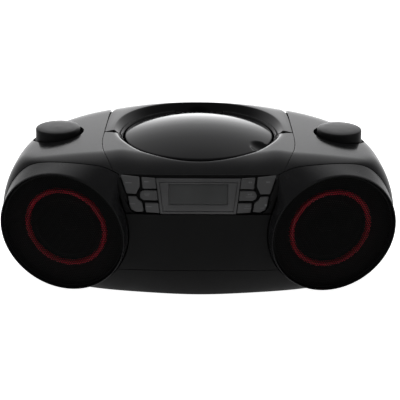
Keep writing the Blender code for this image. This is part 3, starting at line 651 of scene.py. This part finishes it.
def make_front():
    bottom = Z_BASE_SEAM + SEAM / 2
    region = slab("form_region", (-0.0950, -0.3, bottom), (0.0950, -0.055, Z_TOP_SEAM - SEAM / 2))
    combine(region, ("UNION", slab("form_rise", (-0.0694, -0.3, 0.06), (0.0694, -0.055, BAND_BOTTOM_Z - 0.0006))))
    panel = shell("front_panel", MATTE, region)
    cut(panel, *BORES)
    polish(panel)
    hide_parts("front_cabinet")
    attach(panel, "cabinet")
    for side, where in SIDES:
        profile = [(0.0611, -0.0060), (0.0611, -0.0140), (0.0362, -0.0140), (0.0362, -0.0170), (0.0620, -0.0170),
                   (0.0620, -0.0070), (0.0611, -0.0060)]
        baffle = smooth(lathe(f"speaker_baffle_{where}", profile, speaker_frame(side), DARK))
        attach(baffle, "cabinet")


def make_base():
    """The base, up to the fine seam that runs round the cabinet."""
    region = slab("form_region", (-0.3, -0.3, -0.01), (0.3, 0.3, Z_BASE_SEAM - SEAM / 2))
    base = shell("base_shell", MATTE, region)
    cut(base, *BORES)
    polish(base)
    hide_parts("base_cover")
    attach(base, "cabinet")


def make_rear():
    top = Z_TOP_SEAM - SEAM / 2
    bottom = Z_BASE_SEAM + SEAM / 2
    region = slab("form_region", (-0.3, Y_SIDE_SEAM, bottom), (0.3, 0.3, top))
    combine(
        region,
        ("UNION", slab("form_left", (-0.3, -0.12, bottom), (-0.15, 0, top))),
        ("UNION", slab("form_right", (0.15, -0.12, bottom), (0.3, 0, top))),
        ("UNION", slab("form_middle", (-0.0980, 0.09, bottom), (0.0980, 0.3, 0.1030))),
    )
    cover = shell("rear_shell", MATTE, region)
    ledge = keep(slab("form_ledge", (-0.0975, 0.1035, 0.1005), (0.0975, 0.14, 0.1029)),
                 cabinet("form_middle_skin", WALL / 2))
    combine(cover, ("UNION", ledge))
    cut(cover, slab("form_door", DOOR_LOW, DOOR_HIGH),
        slab("form_inlet", (-0.1170, 0.06, 0.0450), (-0.0930, 0.14, 0.0630)),
        rod("form_socket", 0.0035, (0.100, 0.05, 0.054), (0.100, 0.14, 0.054)), *BORES)
    polish(cover)
    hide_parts("rear_cover")
    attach(cover, "cabinet")
    gap = Vector((DOOR_GAP, 0, DOOR_GAP))
    door = shell("battery_door_cover", MATTE, slab("form_region", Vector(DOOR_LOW) + gap, Vector(DOOR_HIGH) - gap))
    polish(door)
    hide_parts("battery_door")
    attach(door, "rear_door")


def make_hood(side, where):
    """The satin hood from the grille's rim to the line where it meets the cabinet, with a fine lip in front."""
    turns = around(192)
    depths = [max(seam_depth(side, a), 0.0012) for a in turns]
    frame_at = speaker_frame(side)
    bore = GRILLE_RADIUS + 0.0003

    def flat_ring(radius, depth):
        return [frame_at @ polar(radius, a, -depth) for a in turns]

    rings = [flat_ring(bore, 0.030), flat_ring(bore, 0.0004), flat_ring(bore + 0.0003, 0.0),
             flat_ring(RIM_RADIUS - 0.0003, 0.0)]
    for share in np.linspace(0.02, 1.0, 14):
        rings.append([hood_point(side, a, 0.0002 + share * (d - 0.0002)) for a, d in zip(turns, depths)])
    rings.append([hood_point(side, a, d + 0.0012, -0.0016) for a, d in zip(turns, depths)])
    rings += [flat_ring(bore + 0.0006, 0.030), rings[0]]
    hood = smooth(loft(f"speaker_hood_cover_{where}", rings, SATIN, caps=False), 40)
    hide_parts(f"speaker_hood_{where}")
    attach(hood, "cabinet")


# CD lid, its ring and the handle


def notch_depth(x, y):
    """How deep the finger scoop at the lid's front right edge is."""
    along_x, along_y = math.cos(NOTCH_ANGLE), math.sin(NOTCH_ANGLE)
    out = x * along_x + y * along_y - NOTCH_RADIUS
    across = y * along_x - x * along_y
    near = max(0.0, 1 - (out / NOTCH_LENGTH) ** 2 - (across / NOTCH_HALF_WIDTH) ** 2)
    return NOTCH_DEPTH * near**0.8


def lid_height(radius):
    """Height of the CD lid's dome at this distance from its middle."""
    sphere = (LID_RADIUS**2 + LID_DOME**2) / (2 * LID_DOME)
    return LID_Z + LID_DOME - sphere + math.sqrt(sphere**2 - radius**2)


def make_lid():
    def domed_ring(radius, sink=0.0):
        points = [polar(radius, a, lid_height(radius) - sink) for a in around(240)]
        return [p - Vector((0, 0, notch_depth(p.x, p.y))) for p in points]

    def skirt_ring(radius):
        return [polar(radius, a, LID_Z - LID_SKIRT) for a in around(240)]

    edge = LID_RADIUS
    rings = [domed_ring(r) for r in (*np.linspace(0.004, 0.050, 14), *np.linspace(0.052, edge - 0.0012, 20))]
    rings += [domed_ring(edge - 0.0006, 0.00005), domed_ring(edge - 0.0002, 0.0003), domed_ring(edge, 0.0008)]
    rings += [skirt_ring(edge), skirt_ring(edge - 0.0015)]
    rings += [domed_ring(r, LID_WALL + 0.002) for r in (edge - 0.0035, 0.060, 0.040, 0.020, 0.004)]
    lid = smooth(loft("cd_lid_cover", rings, GLOSS))
    tail = slab("cd_lid_tail", (-0.0180, 0.0715, LID_HINGE.z - 0.0010), (0.0180, LID_HINGE.y, LID_Z - 0.0006), GLOSS)
    to_knuckle, to_pin = Vector((0.0182, 0, 0)), Vector((0.0255, 0, 0))
    knuckle = rod("form_knuckle", 0.0022, LID_HINGE - to_knuckle, LID_HINGE + to_knuckle, None, 32)
    pin = rod("form_pin", 0.0010, LID_HINGE - to_pin, LID_HINGE + to_pin, None, 20)
    combine(tail, ("UNION", knuckle), ("UNION", pin))
    soften(tail, 0.0002, 1)
    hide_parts("cd_lid")
    for piece in (lid, tail):
        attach(piece, "lid")


def make_lid_ring():
    """The fixed slope between the CD lid and the folded handle."""
    first, last = math.radians(-5.6), math.radians(70)
    section = ((0.0769, 0.1312), (0.0769, 0.1342), (0.0772, 0.1347), (0.0790, 0.1362), (0.0792, 0.1358),
               (0.0792, 0.1312))
    for name, start, end in (("right", first, last), ("left", math.pi - last, math.pi - first)):
        turns = np.linspace(start, end, 90)
        rings = [[polar(r, a, z) for r, z in section] for a in turns]
        ring = smooth(loft(f"lid_ring_{name}", rings, GLOSS))
        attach(ring, "cabinet")


def handle_reach(angle, half_width, back, power):
    """How far a rounded rectangle reaches in this direction."""
    c, s = abs(math.cos(angle)), abs(math.sin(angle))
    return ((c / half_width) ** power + (s / back) ** power) ** (-1 / power)


def cabinet_top(x, y):
    """Height of the cabinet's upper surface at one place."""
    return float(top_height(np.array([x]), np.array([y]))[0])


def handle_section(angle):
    """The handle's cross-section where it crosses this direction from the lid's centre."""
    c, s = math.cos(angle), math.sin(angle)
    outside = handle_reach(angle, BLOCK_HALF_WIDTH + 0.0001, HANDLE_BACK_Y, 4.5)
    crest = handle_reach(angle, 0.0855, 0.0900, 2.3)
    inside = handle_reach(angle, 0.0797, 0.0865, 2.0)
    edge_z = max(HANDLE_BOTTOM_Z + 0.0040, cabinet_top(outside * c, outside * s))
    levels = [(outside - 0.0010, HANDLE_BOTTOM_Z), (outside, HANDLE_BOTTOM_Z + 0.0010), (outside, edge_z - 0.0010),
              (outside - 0.0003, edge_z - 0.0003)]
    for share in (0.04, 0.15, 0.30, 0.45, 0.60, 0.75, 0.88):
        r = outside + (crest - outside) * share
        surface = cabinet_top(r * c, r * s)
        levels.append((r, surface + (HANDLE_CREST_Z - surface) * float(eased(share))))
    levels += [(crest + 0.0004, HANDLE_CREST_Z), (crest - 0.0003, HANDLE_CREST_Z - 0.00005),
               (crest - 0.0010, HANDLE_CREST_Z - 0.0005)]
    foot_z = HANDLE_FOOT_Z - 0.0056 * max(0.0, s) ** 2
    for share in (0.3, 0.6, 0.85):
        r = crest - 0.0010 + (inside + 0.0004 - crest + 0.0010) * share
        levels.append((r, HANDLE_CREST_Z - 0.0005 + (foot_z - HANDLE_CREST_Z + 0.0005) * share**1.15))
    levels += [(inside + 0.0003, foot_z), (inside, foot_z - 0.0006), (inside, HANDLE_BOTTOM_Z + 0.0008),
               (inside + 0.0008, HANDLE_BOTTOM_Z)]
    return [polar(r, angle, z) for r, z in levels]


def make_handle():
    first = math.asin(-0.012 / BLOCK_HALF_WIDTH)
    handle = loft("carry_handle_cover", [handle_section(a) for a in np.linspace(first, math.pi - first, 220)], GLOSS)
    keep(handle, slab("form_region", (-0.2, -0.0078, 0), (0.2, 0.3, 0.3)))
    corner = slab("form_corner", (-0.2, -0.03, 0.1), (0.2, HANDLE_PIVOT.y, 0.16))
    across = Vector((0.3, 0, 0))
    cut(corner, rod("form_round", HANDLE_END_RADIUS, HANDLE_PIVOT - across, HANDLE_PIVOT + across, None, 160))
    cut(handle, corner)
    smooth(handle, 30)
    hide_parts("carry_handle")
    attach(handle, "handle")
    for side, where in SIDES:
        ends = [HANDLE_PIVOT + Vector((side * x, 0, 0)) for x in (0.0925, 0.0985)]
        pin = smooth(rod(f"handle_pin_{where}", 0.0018, *ends, STEEL, 32))
        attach(pin, "handle")


# Knobs


def make_knob(side, node, body):
    """A knob with a slightly convex top, a foot ring and a stem."""
    top, low, r = KNOB_TOP_Z, KNOB_BOTTOM_Z, KNOB_RADIUS
    profile = [(q, top - 0.0011 * (q / r) ** 2) for q in (0.0005, 0.0050, 0.0100, 0.0150, r - 0.0016)]
    profile += [(r - 0.0009, top - 0.0012), (r - 0.0004, top - 0.0016), (r - 0.0001, top - 0.0022), (r, top - 0.0028),
                (r + 0.0003, low + 0.0022), (r + 0.0004, low + 0.0018), (r + 0.0011, low + 0.0015),
                (r + 0.0012, low + 0.0012), (r + 0.0012, low + 0.0002), (r + 0.0010, low), (STEM_RADIUS, low),
                (STEM_RADIUS, STEM_END_Z), (0.0005, STEM_END_Z)]
    knob = smooth(lathe(f"{node}_cap", profile, Matrix.Translation((side * KNOB_X, KNOB_Y, 0)), KNOB, 128), 40)
    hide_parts(node)
    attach(knob, body)


# Speakers


def grille_height(radius):
    return -SHEET_BACK - SHEET_DOME * (radius / GRILLE_RADIUS) ** 2


def make_grille(side, where):
    """A domed sheet with a honeycomb of holes, in a rolled rim."""
    points, faces, index = [], [], {}
    at = speaker_frame(side)

    def corner(x, y):
        key = (round(x, 6), round(y, 6))
        if key not in index:
            index[key] = len(points)
            points.append((x, y, grille_height(math.hypot(x, y))))
        return index[key]

    row_pitch = HOLE_PITCH * math.sqrt(3) / 2
    rows = int(HOLES_OUT_TO / row_pitch) + 1
    cell = HOLE_PITCH / math.sqrt(3)
    turns = [math.radians(30 + 60 * k) for k in range(6)]
    for row in range(-rows, rows + 1):
        for column in range(-rows - 3, rows + 4):
            x, y = (column + 0.5 * (row % 2)) * HOLE_PITCH, row * row_pitch
            if math.hypot(x, y) > HOLES_OUT_TO:
                continue
            outer = [corner(x + cell * math.cos(a), y + cell * math.sin(a)) for a in turns]
            inner = [corner(x + HOLE_RADIUS * math.cos(a), y + HOLE_RADIUS * math.sin(a)) for a in turns]
            for k in range(6):
                faces.append((outer[k], outer[(k + 1) % 6], inner[(k + 1) % 6], inner[k]))
    mesh = bpy.data.meshes.new("grille")
    mesh.from_pydata([tuple(at @ Vector(p)) for p in points], [], faces)
    sheet = placed(f"grille_mesh_{where}", mesh, GRILLE)
    thick = sheet.modifiers.new("sheet", "SOLIDIFY")
    thick.thickness = SHEET_THICKNESS
    thick.offset = -1.0
    profile = [(0.0586, -0.0048), (0.0586, -0.0036), (0.0589, -0.0031), (0.0596, -0.0028), (0.0603, -0.0031),
               (GRILLE_RADIUS - 0.0001, -0.0038), (GRILLE_RADIUS, -0.0052), (0.0592, -0.0054), (0.0586, -0.0048)]
    rim = smooth(lathe(f"grille_rim_{where}", profile, at, GRILLE, 160), 50)
    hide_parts(f"grille_{where}")
    for piece in (sheet, rim):
        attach(piece, "cabinet")


def make_driver(side, where):
    """The red ring and the cone behind a grille."""
    at = speaker_frame(side)
    trim = [(0.0362, -0.0125), (0.0368, -0.0112), (0.0376, -0.0103), (0.0388, -0.0099), (0.0400, -0.0101),
            (0.0409, -0.0108), (0.0414, -0.0118), (0.0415, -0.0137), (0.0362, -0.0137), (0.0362, -0.0125)]
    ring = smooth(lathe(f"trim_ring_cover_{where}", trim, at, RED, 160), 50)
    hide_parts(f"trim_ring_{where}")
    cone = [(0.0005, -0.0190), (0.0040, -0.0193), (0.0075, -0.0205), (0.0098, -0.0232), (0.0104, -0.0262),
            (0.0150, -0.0250), (0.0210, -0.0222), (0.0262, -0.0188), (0.0272, -0.0176), (0.0286, -0.0150),
            (0.0306, -0.0140), (0.0326, -0.0150), (0.0338, -0.0160), (0.0361, -0.0162), (0.0361, -0.0169),
            (0.0262, -0.0200), (0.0120, -0.0290), (0.0005, -0.0290)]
    paper = smooth(lathe(f"speaker_cone_cover_{where}", cone, at, CONE, 96), 50)
    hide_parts(f"speaker_cone_{where}")
    for piece in (ring, paper):
        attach(piece, "cabinet")


# Display and keys


def face_y(x, z):
    """Where the cabinet's front surface is."""
    level = (z - Z_MIDDLE) / (Z_APEX - Z_MIDDLE)
    reach = (1 - max(0.0, level) ** PROFILE_POWER) ** (1 / PROFILE_POWER)
    across = abs(x / (HALF_WIDTH * reach)) ** PLAN_POWER_FRONT
    return Y_WIDEST - (Y_WIDEST - Y_FRONT) * reach * (1 - across) ** (1 / PLAN_POWER_FRONT)


def on_front(outline, back):
    """An outline in X and Z, laid this far behind the cabinet's front."""
    return [(x, face_y(x, z) + back, z) for x, z in outline]


def rounded(outline, radius, steps=5):
    """An outline in X and Z with its corners made round."""
    found = []
    count = len(outline)
    for i, here in enumerate(outline):
        before, after = Vector(outline[i - 1]), Vector(outline[(i + 1) % count])
        here = Vector(here)
        cut_back = min(radius, 0.45 * (before - here).length, 0.45 * (after - here).length)
        start = here + (before - here).normalized() * cut_back
        end = here + (after - here).normalized() * cut_back
        for k in range(steps + 1):
            t = k / steps
            found.append(tuple((1 - t) ** 2 * start + 2 * t * (1 - t) * here + t * t * end))
    return found


def inset_outline(outline, amount):
    """An outline moved inwards by a small amount."""
    count = len(outline)
    area = sum(outline[i - 1][0] * outline[i][1] - outline[i][0] * outline[i - 1][1] for i in range(count))
    way = 1 if area > 0 else -1
    found = []
    for i, (x, z) in enumerate(outline):
        along = (Vector(outline[(i + 1) % count]) - Vector(outline[i - 1])).normalized()
        found.append((x - way * along.y * amount, z + way * along.x * amount))
    return found


def raised_plate(name, outline, sunk, thick, material, edge=0.0005):
    """A plate whose face follows the cabinet's front, this far behind it, with a softened edge."""
    middle = sum((Vector(p) for p in outline), Vector((0, 0))) / len(outline)
    plan = [(0.0, thick), (0.0, edge), (edge * 0.3, edge * 0.3), (edge, 0.0)]
    rings = [on_front(inset_outline(outline, inward), sunk + back) for inward, back in plan]
    inner = [Vector(p) for p in inset_outline(outline, edge)]
    for share in (0.75, 0.5, 0.25, 0.05):
        rings.append(on_front([middle + (p - middle) * share for p in inner], sunk))
    return smooth(loft(name, rings, material), 50)


def key_outlines():
    """Outlines of one side's keys, from the middle outwards, for positive X."""
    return {
        "top_outer": [(0.0552, 0.1252), (0.0548, 0.1164), (0.0573, 0.1121), (0.0579, 0.1095), (0.0673, 0.1097),
                      (0.0729, 0.1267)],
        "top_inner": [(0.0402, 0.1244), (0.0391, 0.1148), (0.0521, 0.1145), (0.0533, 0.1250)],
        "middle": [(0.0379, 0.1035), (0.0512, 0.1035), (0.0540, 0.1050), (0.0551, 0.1082), (0.0540, 0.1114),
                   (0.0512, 0.1130), (0.0388, 0.1130)],
        "bottom_outer": [(0.0515, 0.0923), (0.0529, 0.1015), (0.0566, 0.1039), (0.0584, 0.1072), (0.0661, 0.1072),
                         (0.0643, 0.0977), (0.0627, 0.0942), (0.0585, 0.0919)],
        "bottom_inner": [(0.0363, 0.0910), (0.0375, 0.1011), (0.0504, 0.1011), (0.0493, 0.0917)],
    }


def bar(x, z, width, height):
    return [(x + i * width / 2, z + j * height / 2) for i, j in ((-1, -1), (1, -1), (1, 1), (-1, 1))]


def arrow(x, z, size, way):
    return [(x - way * size / 2, z - size / 2), (x + way * size / 2, z), (x - way * size / 2, z + size / 2)]


def key_marks():
    """Plain symbols for one key each: arrows for playing and skipping, a square for stopping, dashes elsewhere."""
    return {
        "left_top_outer": [bar(-0.0655, 0.1200, 0.0062, 0.0006)],
        "left_top_inner": [bar(-0.0486, 0.1212, 0.0040, 0.0006)],
        "left_middle": [bar(-0.0482, 0.1096, 0.0050, 0.0006), bar(-0.0482, 0.1080, 0.0036, 0.0005)],
        "left_bottom_outer": [bar(-0.0620, 0.1000, 0.0050, 0.0006)],
        "left_bottom_inner": [bar(-0.0466, 0.0975, 0.0056, 0.0006)],
        "right_top_inner": [arrow(0.0474, 0.1212, 0.0018, -1), arrow(0.0493, 0.1212, 0.0018, -1)],
        "right_top_outer": [arrow(0.0645, 0.1212, 0.0018, 1), arrow(0.0664, 0.1212, 0.0018, 1)],
        "right_middle": [arrow(0.0474, 0.1098, 0.0020, 1), bar(0.0490, 0.1098, 0.0005, 0.0018),
                         bar(0.0499, 0.1098, 0.0005, 0.0018), bar(0.0484, 0.1074, 0.0080, 0.0005)],
        "right_bottom_inner": [bar(0.0464, 0.0985, 0.0050, 0.0005), bar(0.0464, 0.0962, 0.0070, 0.0004)],
        "right_bottom_outer": [bar(0.0634, 0.0992, 0.0020, 0.0020), bar(0.0600, 0.0964, 0.0040, 0.0005)],
    }


def make_keys():
    marks = key_marks()
    for side, where in SIDES:
        for place_name, outline in key_outlines().items():
            node = f"key_{where}_{place_name}"
            body = f"button_{where}_{place_name}"
            shape = rounded([(side * x, z) for x, z in outline], 0.0012)
            key = raised_plate(f"{node}_cap", shape, KEY_SUNK, KEY_THICK, KEY, 0.0006)
            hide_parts(node)
            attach(key, body)
            for i, mark in enumerate(marks[f"{where}_{place_name}"]):
                rings = [on_front(mark, KEY_SUNK + back) for back in (0.0001, -0.00005)]
                print_on = loft(f"{node}_mark_{i}", rings, PRINT)
                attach(print_on, body)


def four_sided(corners, per_side=14):
    """An outline through four corners with the same number of points on each side."""
    found = []
    for i, here in enumerate(corners):
        after = corners[(i + 1) % 4]
        for k in range(per_side):
            t = k / per_side
            found.append((here[0] + (after[0] - here[0]) * t, here[1] + (after[1] - here[1]) * t))
    return found


def trapezoid(inward):
    """The display frame's outline, moved inwards."""
    top, bottom = BAND_TOP_Z - 0.0004, BAND_BOTTOM_Z - 0.0002
    lean = (FRAME_TOP_HALF - FRAME_BOTTOM_HALF) / (top - bottom)
    high, low = top - inward, bottom + inward
    half_high = FRAME_TOP_HALF - inward - lean * inward
    half_low = FRAME_BOTTOM_HALF - inward + lean * inward
    return four_sided([(-half_low, low), (half_low, low), (half_high, high), (-half_high, high)])


def window_outline(grow):
    half, low, high = WINDOW_HALF + grow, WINDOW_BOTTOM_Z - grow, WINDOW_TOP_Z + grow
    return four_sided([(-half, low), (half, low), (half, high), (-half, high)])


def make_display_frame():
    """The frame, with a fine groove round the window, and the dark window in it."""
    outside = ((0.0, 0.0050), (0.0, 0.0004), (0.0001, 0.0001), (0.0004, 0.0), (0.0024, 0.0), (0.0025, 0.0006),
               (0.0031, 0.0006), (0.0032, 0.0))
    inside = ((0.0006, 0.0001), (0.0003, 0.0003), (0.0, 0.0012), (0.0, 0.0050))
    rings = [on_front(trapezoid(inward), FRAME_SUNK + back) for inward, back in outside]
    rings += [on_front(window_outline(grow), FRAME_SUNK + back) for grow, back in inside]
    rings.append(rings[0])
    edge = smooth(loft("display_frame_cover", rings, KEY, caps=False), 40)
    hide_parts("display_frame")
    glass = raised_plate("display_glass", window_outline(-0.0001), FRAME_SUNK + 0.0009, 0.0010, LCD, 0.0001)
    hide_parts("display_window", "display_module")
    for piece in (edge, glass):
        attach(piece, "cabinet")


def make_band_backing():
    """The dark plate behind the keys and the frame, which shows in the gaps between them."""
    rows, columns = 14, 60
    lean = (BAND_TOP_HALF - BAND_BOTTOM_HALF) / 0.0348
    heights = [BACKING_BOTTOM_Z + (BACKING_TOP_Z - BACKING_BOTTOM_Z) * j / rows for j in range(rows + 1)]
    rings = []
    for i in range(columns + 1):
        line = [((BAND_BOTTOM_HALF + lean * max(0.0, z - BAND_BOTTOM_Z)) * (2 * i / columns - 1), z) for z in heights]
        rings.append(on_front(line, BACKING_FRONT) + on_front(line, BACKING_REAR)[::-1])
    backing = loft("band_backing", rings, DARK)
    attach(backing, "cabinet")


def make_band_cheeks():
    """The dark strips beside the outer keys."""
    outline = [(0.0612, 0.0908), (0.0688, 0.0908), (0.0790, 0.1230), (0.0793, 0.1245), (0.0743, 0.1262),
               (0.0683, 0.1092), (0.0674, 0.1068), (0.0655, 0.0972), (0.0637, 0.0935)]
    for side, where in SIDES:
        shape = [(side * x, z) for x, z in outline]
        cheek = raised_plate(f"band_cheek_{where}", shape, 0.0012, 0.0026, MATTE, 0.0004)
        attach(cheek, "cabinet")


# CAD pieces that keep their shape


def finish_cad_nodes():
    """Gives each CAD node that still shows the material that its name's start stands for."""
    finishes = {
        "antenna": CHROME, "battery_contact": CHROME, "battery_box": DARK, "cd_deck": DARK, "control_board": BOARD,
        "encoder": STEEL, "foot": RUBBER, "headphone_socket": DARK, "laser_sled": MATTE, "lid_clamp": MATTE,
        "main_board": BOARD, "power_inlet": DARK, "power_transformer": STEEL, "sled_rail": CHROME, "speaker": STEEL,
        "spindle_motor": STEEL, "turntable": MATTE,
    }
    for name, node in frame["nodes"].items():
        if node.hide_render:
            continue
        finish = next(material for start, material in finishes.items() if name.startswith(start))
        smooth(paint(node, finish))


# Camera, floor and lights


def make_camera():
    camera = bpy.data.objects.new("camera", bpy.data.cameras.new("camera"))
    bpy.context.scene.collection.objects.link(camera)
    camera.location = (0, -0.9468, 0.4568)
    tilt = Matrix.Rotation(math.radians(67.36), 3, "X") @ Matrix.Rotation(math.radians(0.3), 3, "Z")
    camera.rotation_euler = tilt.to_euler()
    camera.data.lens = 87.9
    camera.data.shift_x = 0.00425
    camera.data.clip_end = 60
    bpy.context.scene.camera = camera


def make_floor():
    """A white floor that glows evenly, so it shows no shadow."""
    floor = slab("floor", (-12, -12, -0.01), (12, 12, 0.0))
    made, nodes, links = new_material("floor_paper")
    shader = nodes["Principled BSDF"]
    shader.inputs["Base Color"].default_value = (0.90, 0.90, 0.90, 1)
    shader.inputs["Emission Color"].default_value = (1, 1, 1, 1)
    shader.inputs["Emission Strength"].default_value = 1.0
    links.new(ranged_noise(nodes, links, 3.0, 2.0, 0.85, 0.95), shader.inputs["Roughness"])
    paint(floor, made)
    floor.visible_glossy = False


def make_world():
    """White to the camera. Reflections see a studio that is bright behind, dark in front and grey well below."""
    stops = ((0.0, 0.07), (0.50, 0.09), (0.587, 0.11), (0.63, 0.14), (0.70, 0.20), (0.735, 0.26), (0.821, 0.42),
             (0.894, 0.50), (0.93, 0.62), (0.9636, 0.86), (0.983, 1.30), (0.996, 2.0), (1.0, 2.8))
    world = bpy.data.worlds.new("studio")
    bpy.context.scene.world = world
    world.use_nodes = True
    nodes, links = world.node_tree.nodes, world.node_tree.links
    place = nodes.new("ShaderNodeTexCoord")
    split = nodes.new("ShaderNodeSeparateXYZ")
    links.new(place.outputs["Generated"], split.inputs["Vector"])
    spread = nodes.new("ShaderNodeMapRange")
    spread.inputs["From Min"].default_value = -1.0
    links.new(split.outputs["Y"], spread.inputs["Value"])
    ramp = nodes.new("ShaderNodeValToRGB")
    for position, _ in stops[1:-1]:
        ramp.color_ramp.elements.new(position)
    for stop, (position, bright) in zip(ramp.color_ramp.elements, stops):
        stop.position = position
        stop.color = (bright, bright, bright * 1.01, 1)
    links.new(spread.outputs["Result"], ramp.inputs["Fac"])
    below = nodes.new("ShaderNodeMapRange")
    below.inputs["From Min"].default_value = -0.50
    below.inputs["From Max"].default_value = -0.85
    below.inputs["To Max"].default_value = 0.14
    links.new(split.outputs["Z"], below.inputs["Value"])
    both = nodes.new("ShaderNodeMix")
    both.data_type = "RGBA"
    both.blend_type = "ADD"
    both.inputs[0].default_value = 1.0
    links.new(ramp.outputs["Color"], both.inputs[6])
    links.new(below.outputs["Result"], both.inputs[7])
    path = nodes.new("ShaderNodeLightPath")
    seen = nodes.new("ShaderNodeMix")
    seen.data_type = "RGBA"
    seen.inputs[7].default_value = (0.96, 0.96, 0.96, 1)
    links.new(path.outputs["Is Camera Ray"], seen.inputs[0])
    links.new(both.outputs[2], seen.inputs[6])
    links.new(seen.outputs[2], nodes["Background"].inputs["Color"])


def make_light():
    data = bpy.data.lights.new("top_light", "AREA")
    data.shape = "RECTANGLE"
    data.size, data.size_y = 2.6, 2.6
    data.energy = 38
    light = bpy.data.objects.new("top_light", data)
    bpy.context.scene.collection.objects.link(light)
    light.location = (0, 0.2, 2.2)
    light.rotation_euler = (Vector((0, 0, 0.05)) - light.location).to_track_quat("-Z", "Y").to_euler()
    light.visible_glossy = False


def remove_objects(wanted):
    """Removes the objects whose names meet a test."""
    for obj in list(bpy.data.objects):
        if wanted(obj.name):
            bpy.data.objects.remove(obj, do_unlink=True)


def main():
    remove_objects(lambda name: name in ("Cube", "Camera", "Light"))
    for side, where in SIDES:
        make_shoulder(side, where)
        make_hood(side, where)
        make_grille(side, where)
        make_driver(side, where)
    make_surround()
    make_channel()
    make_front()
    make_base()
    make_rear()
    make_lid()
    make_lid_ring()
    make_handle()
    make_knob(-1, "function_knob", "function_dial")
    make_knob(1, "volume_knob", "volume_dial")
    make_keys()
    make_display_frame()
    make_band_backing()
    make_band_cheeks()
    remove_objects(lambda name: name.startswith("form_"))
    finish_cad_nodes()
    make_camera()
    make_floor()
    make_world()
    make_light()
    bpy.context.scene.view_settings.view_transform = "Standard"


main()
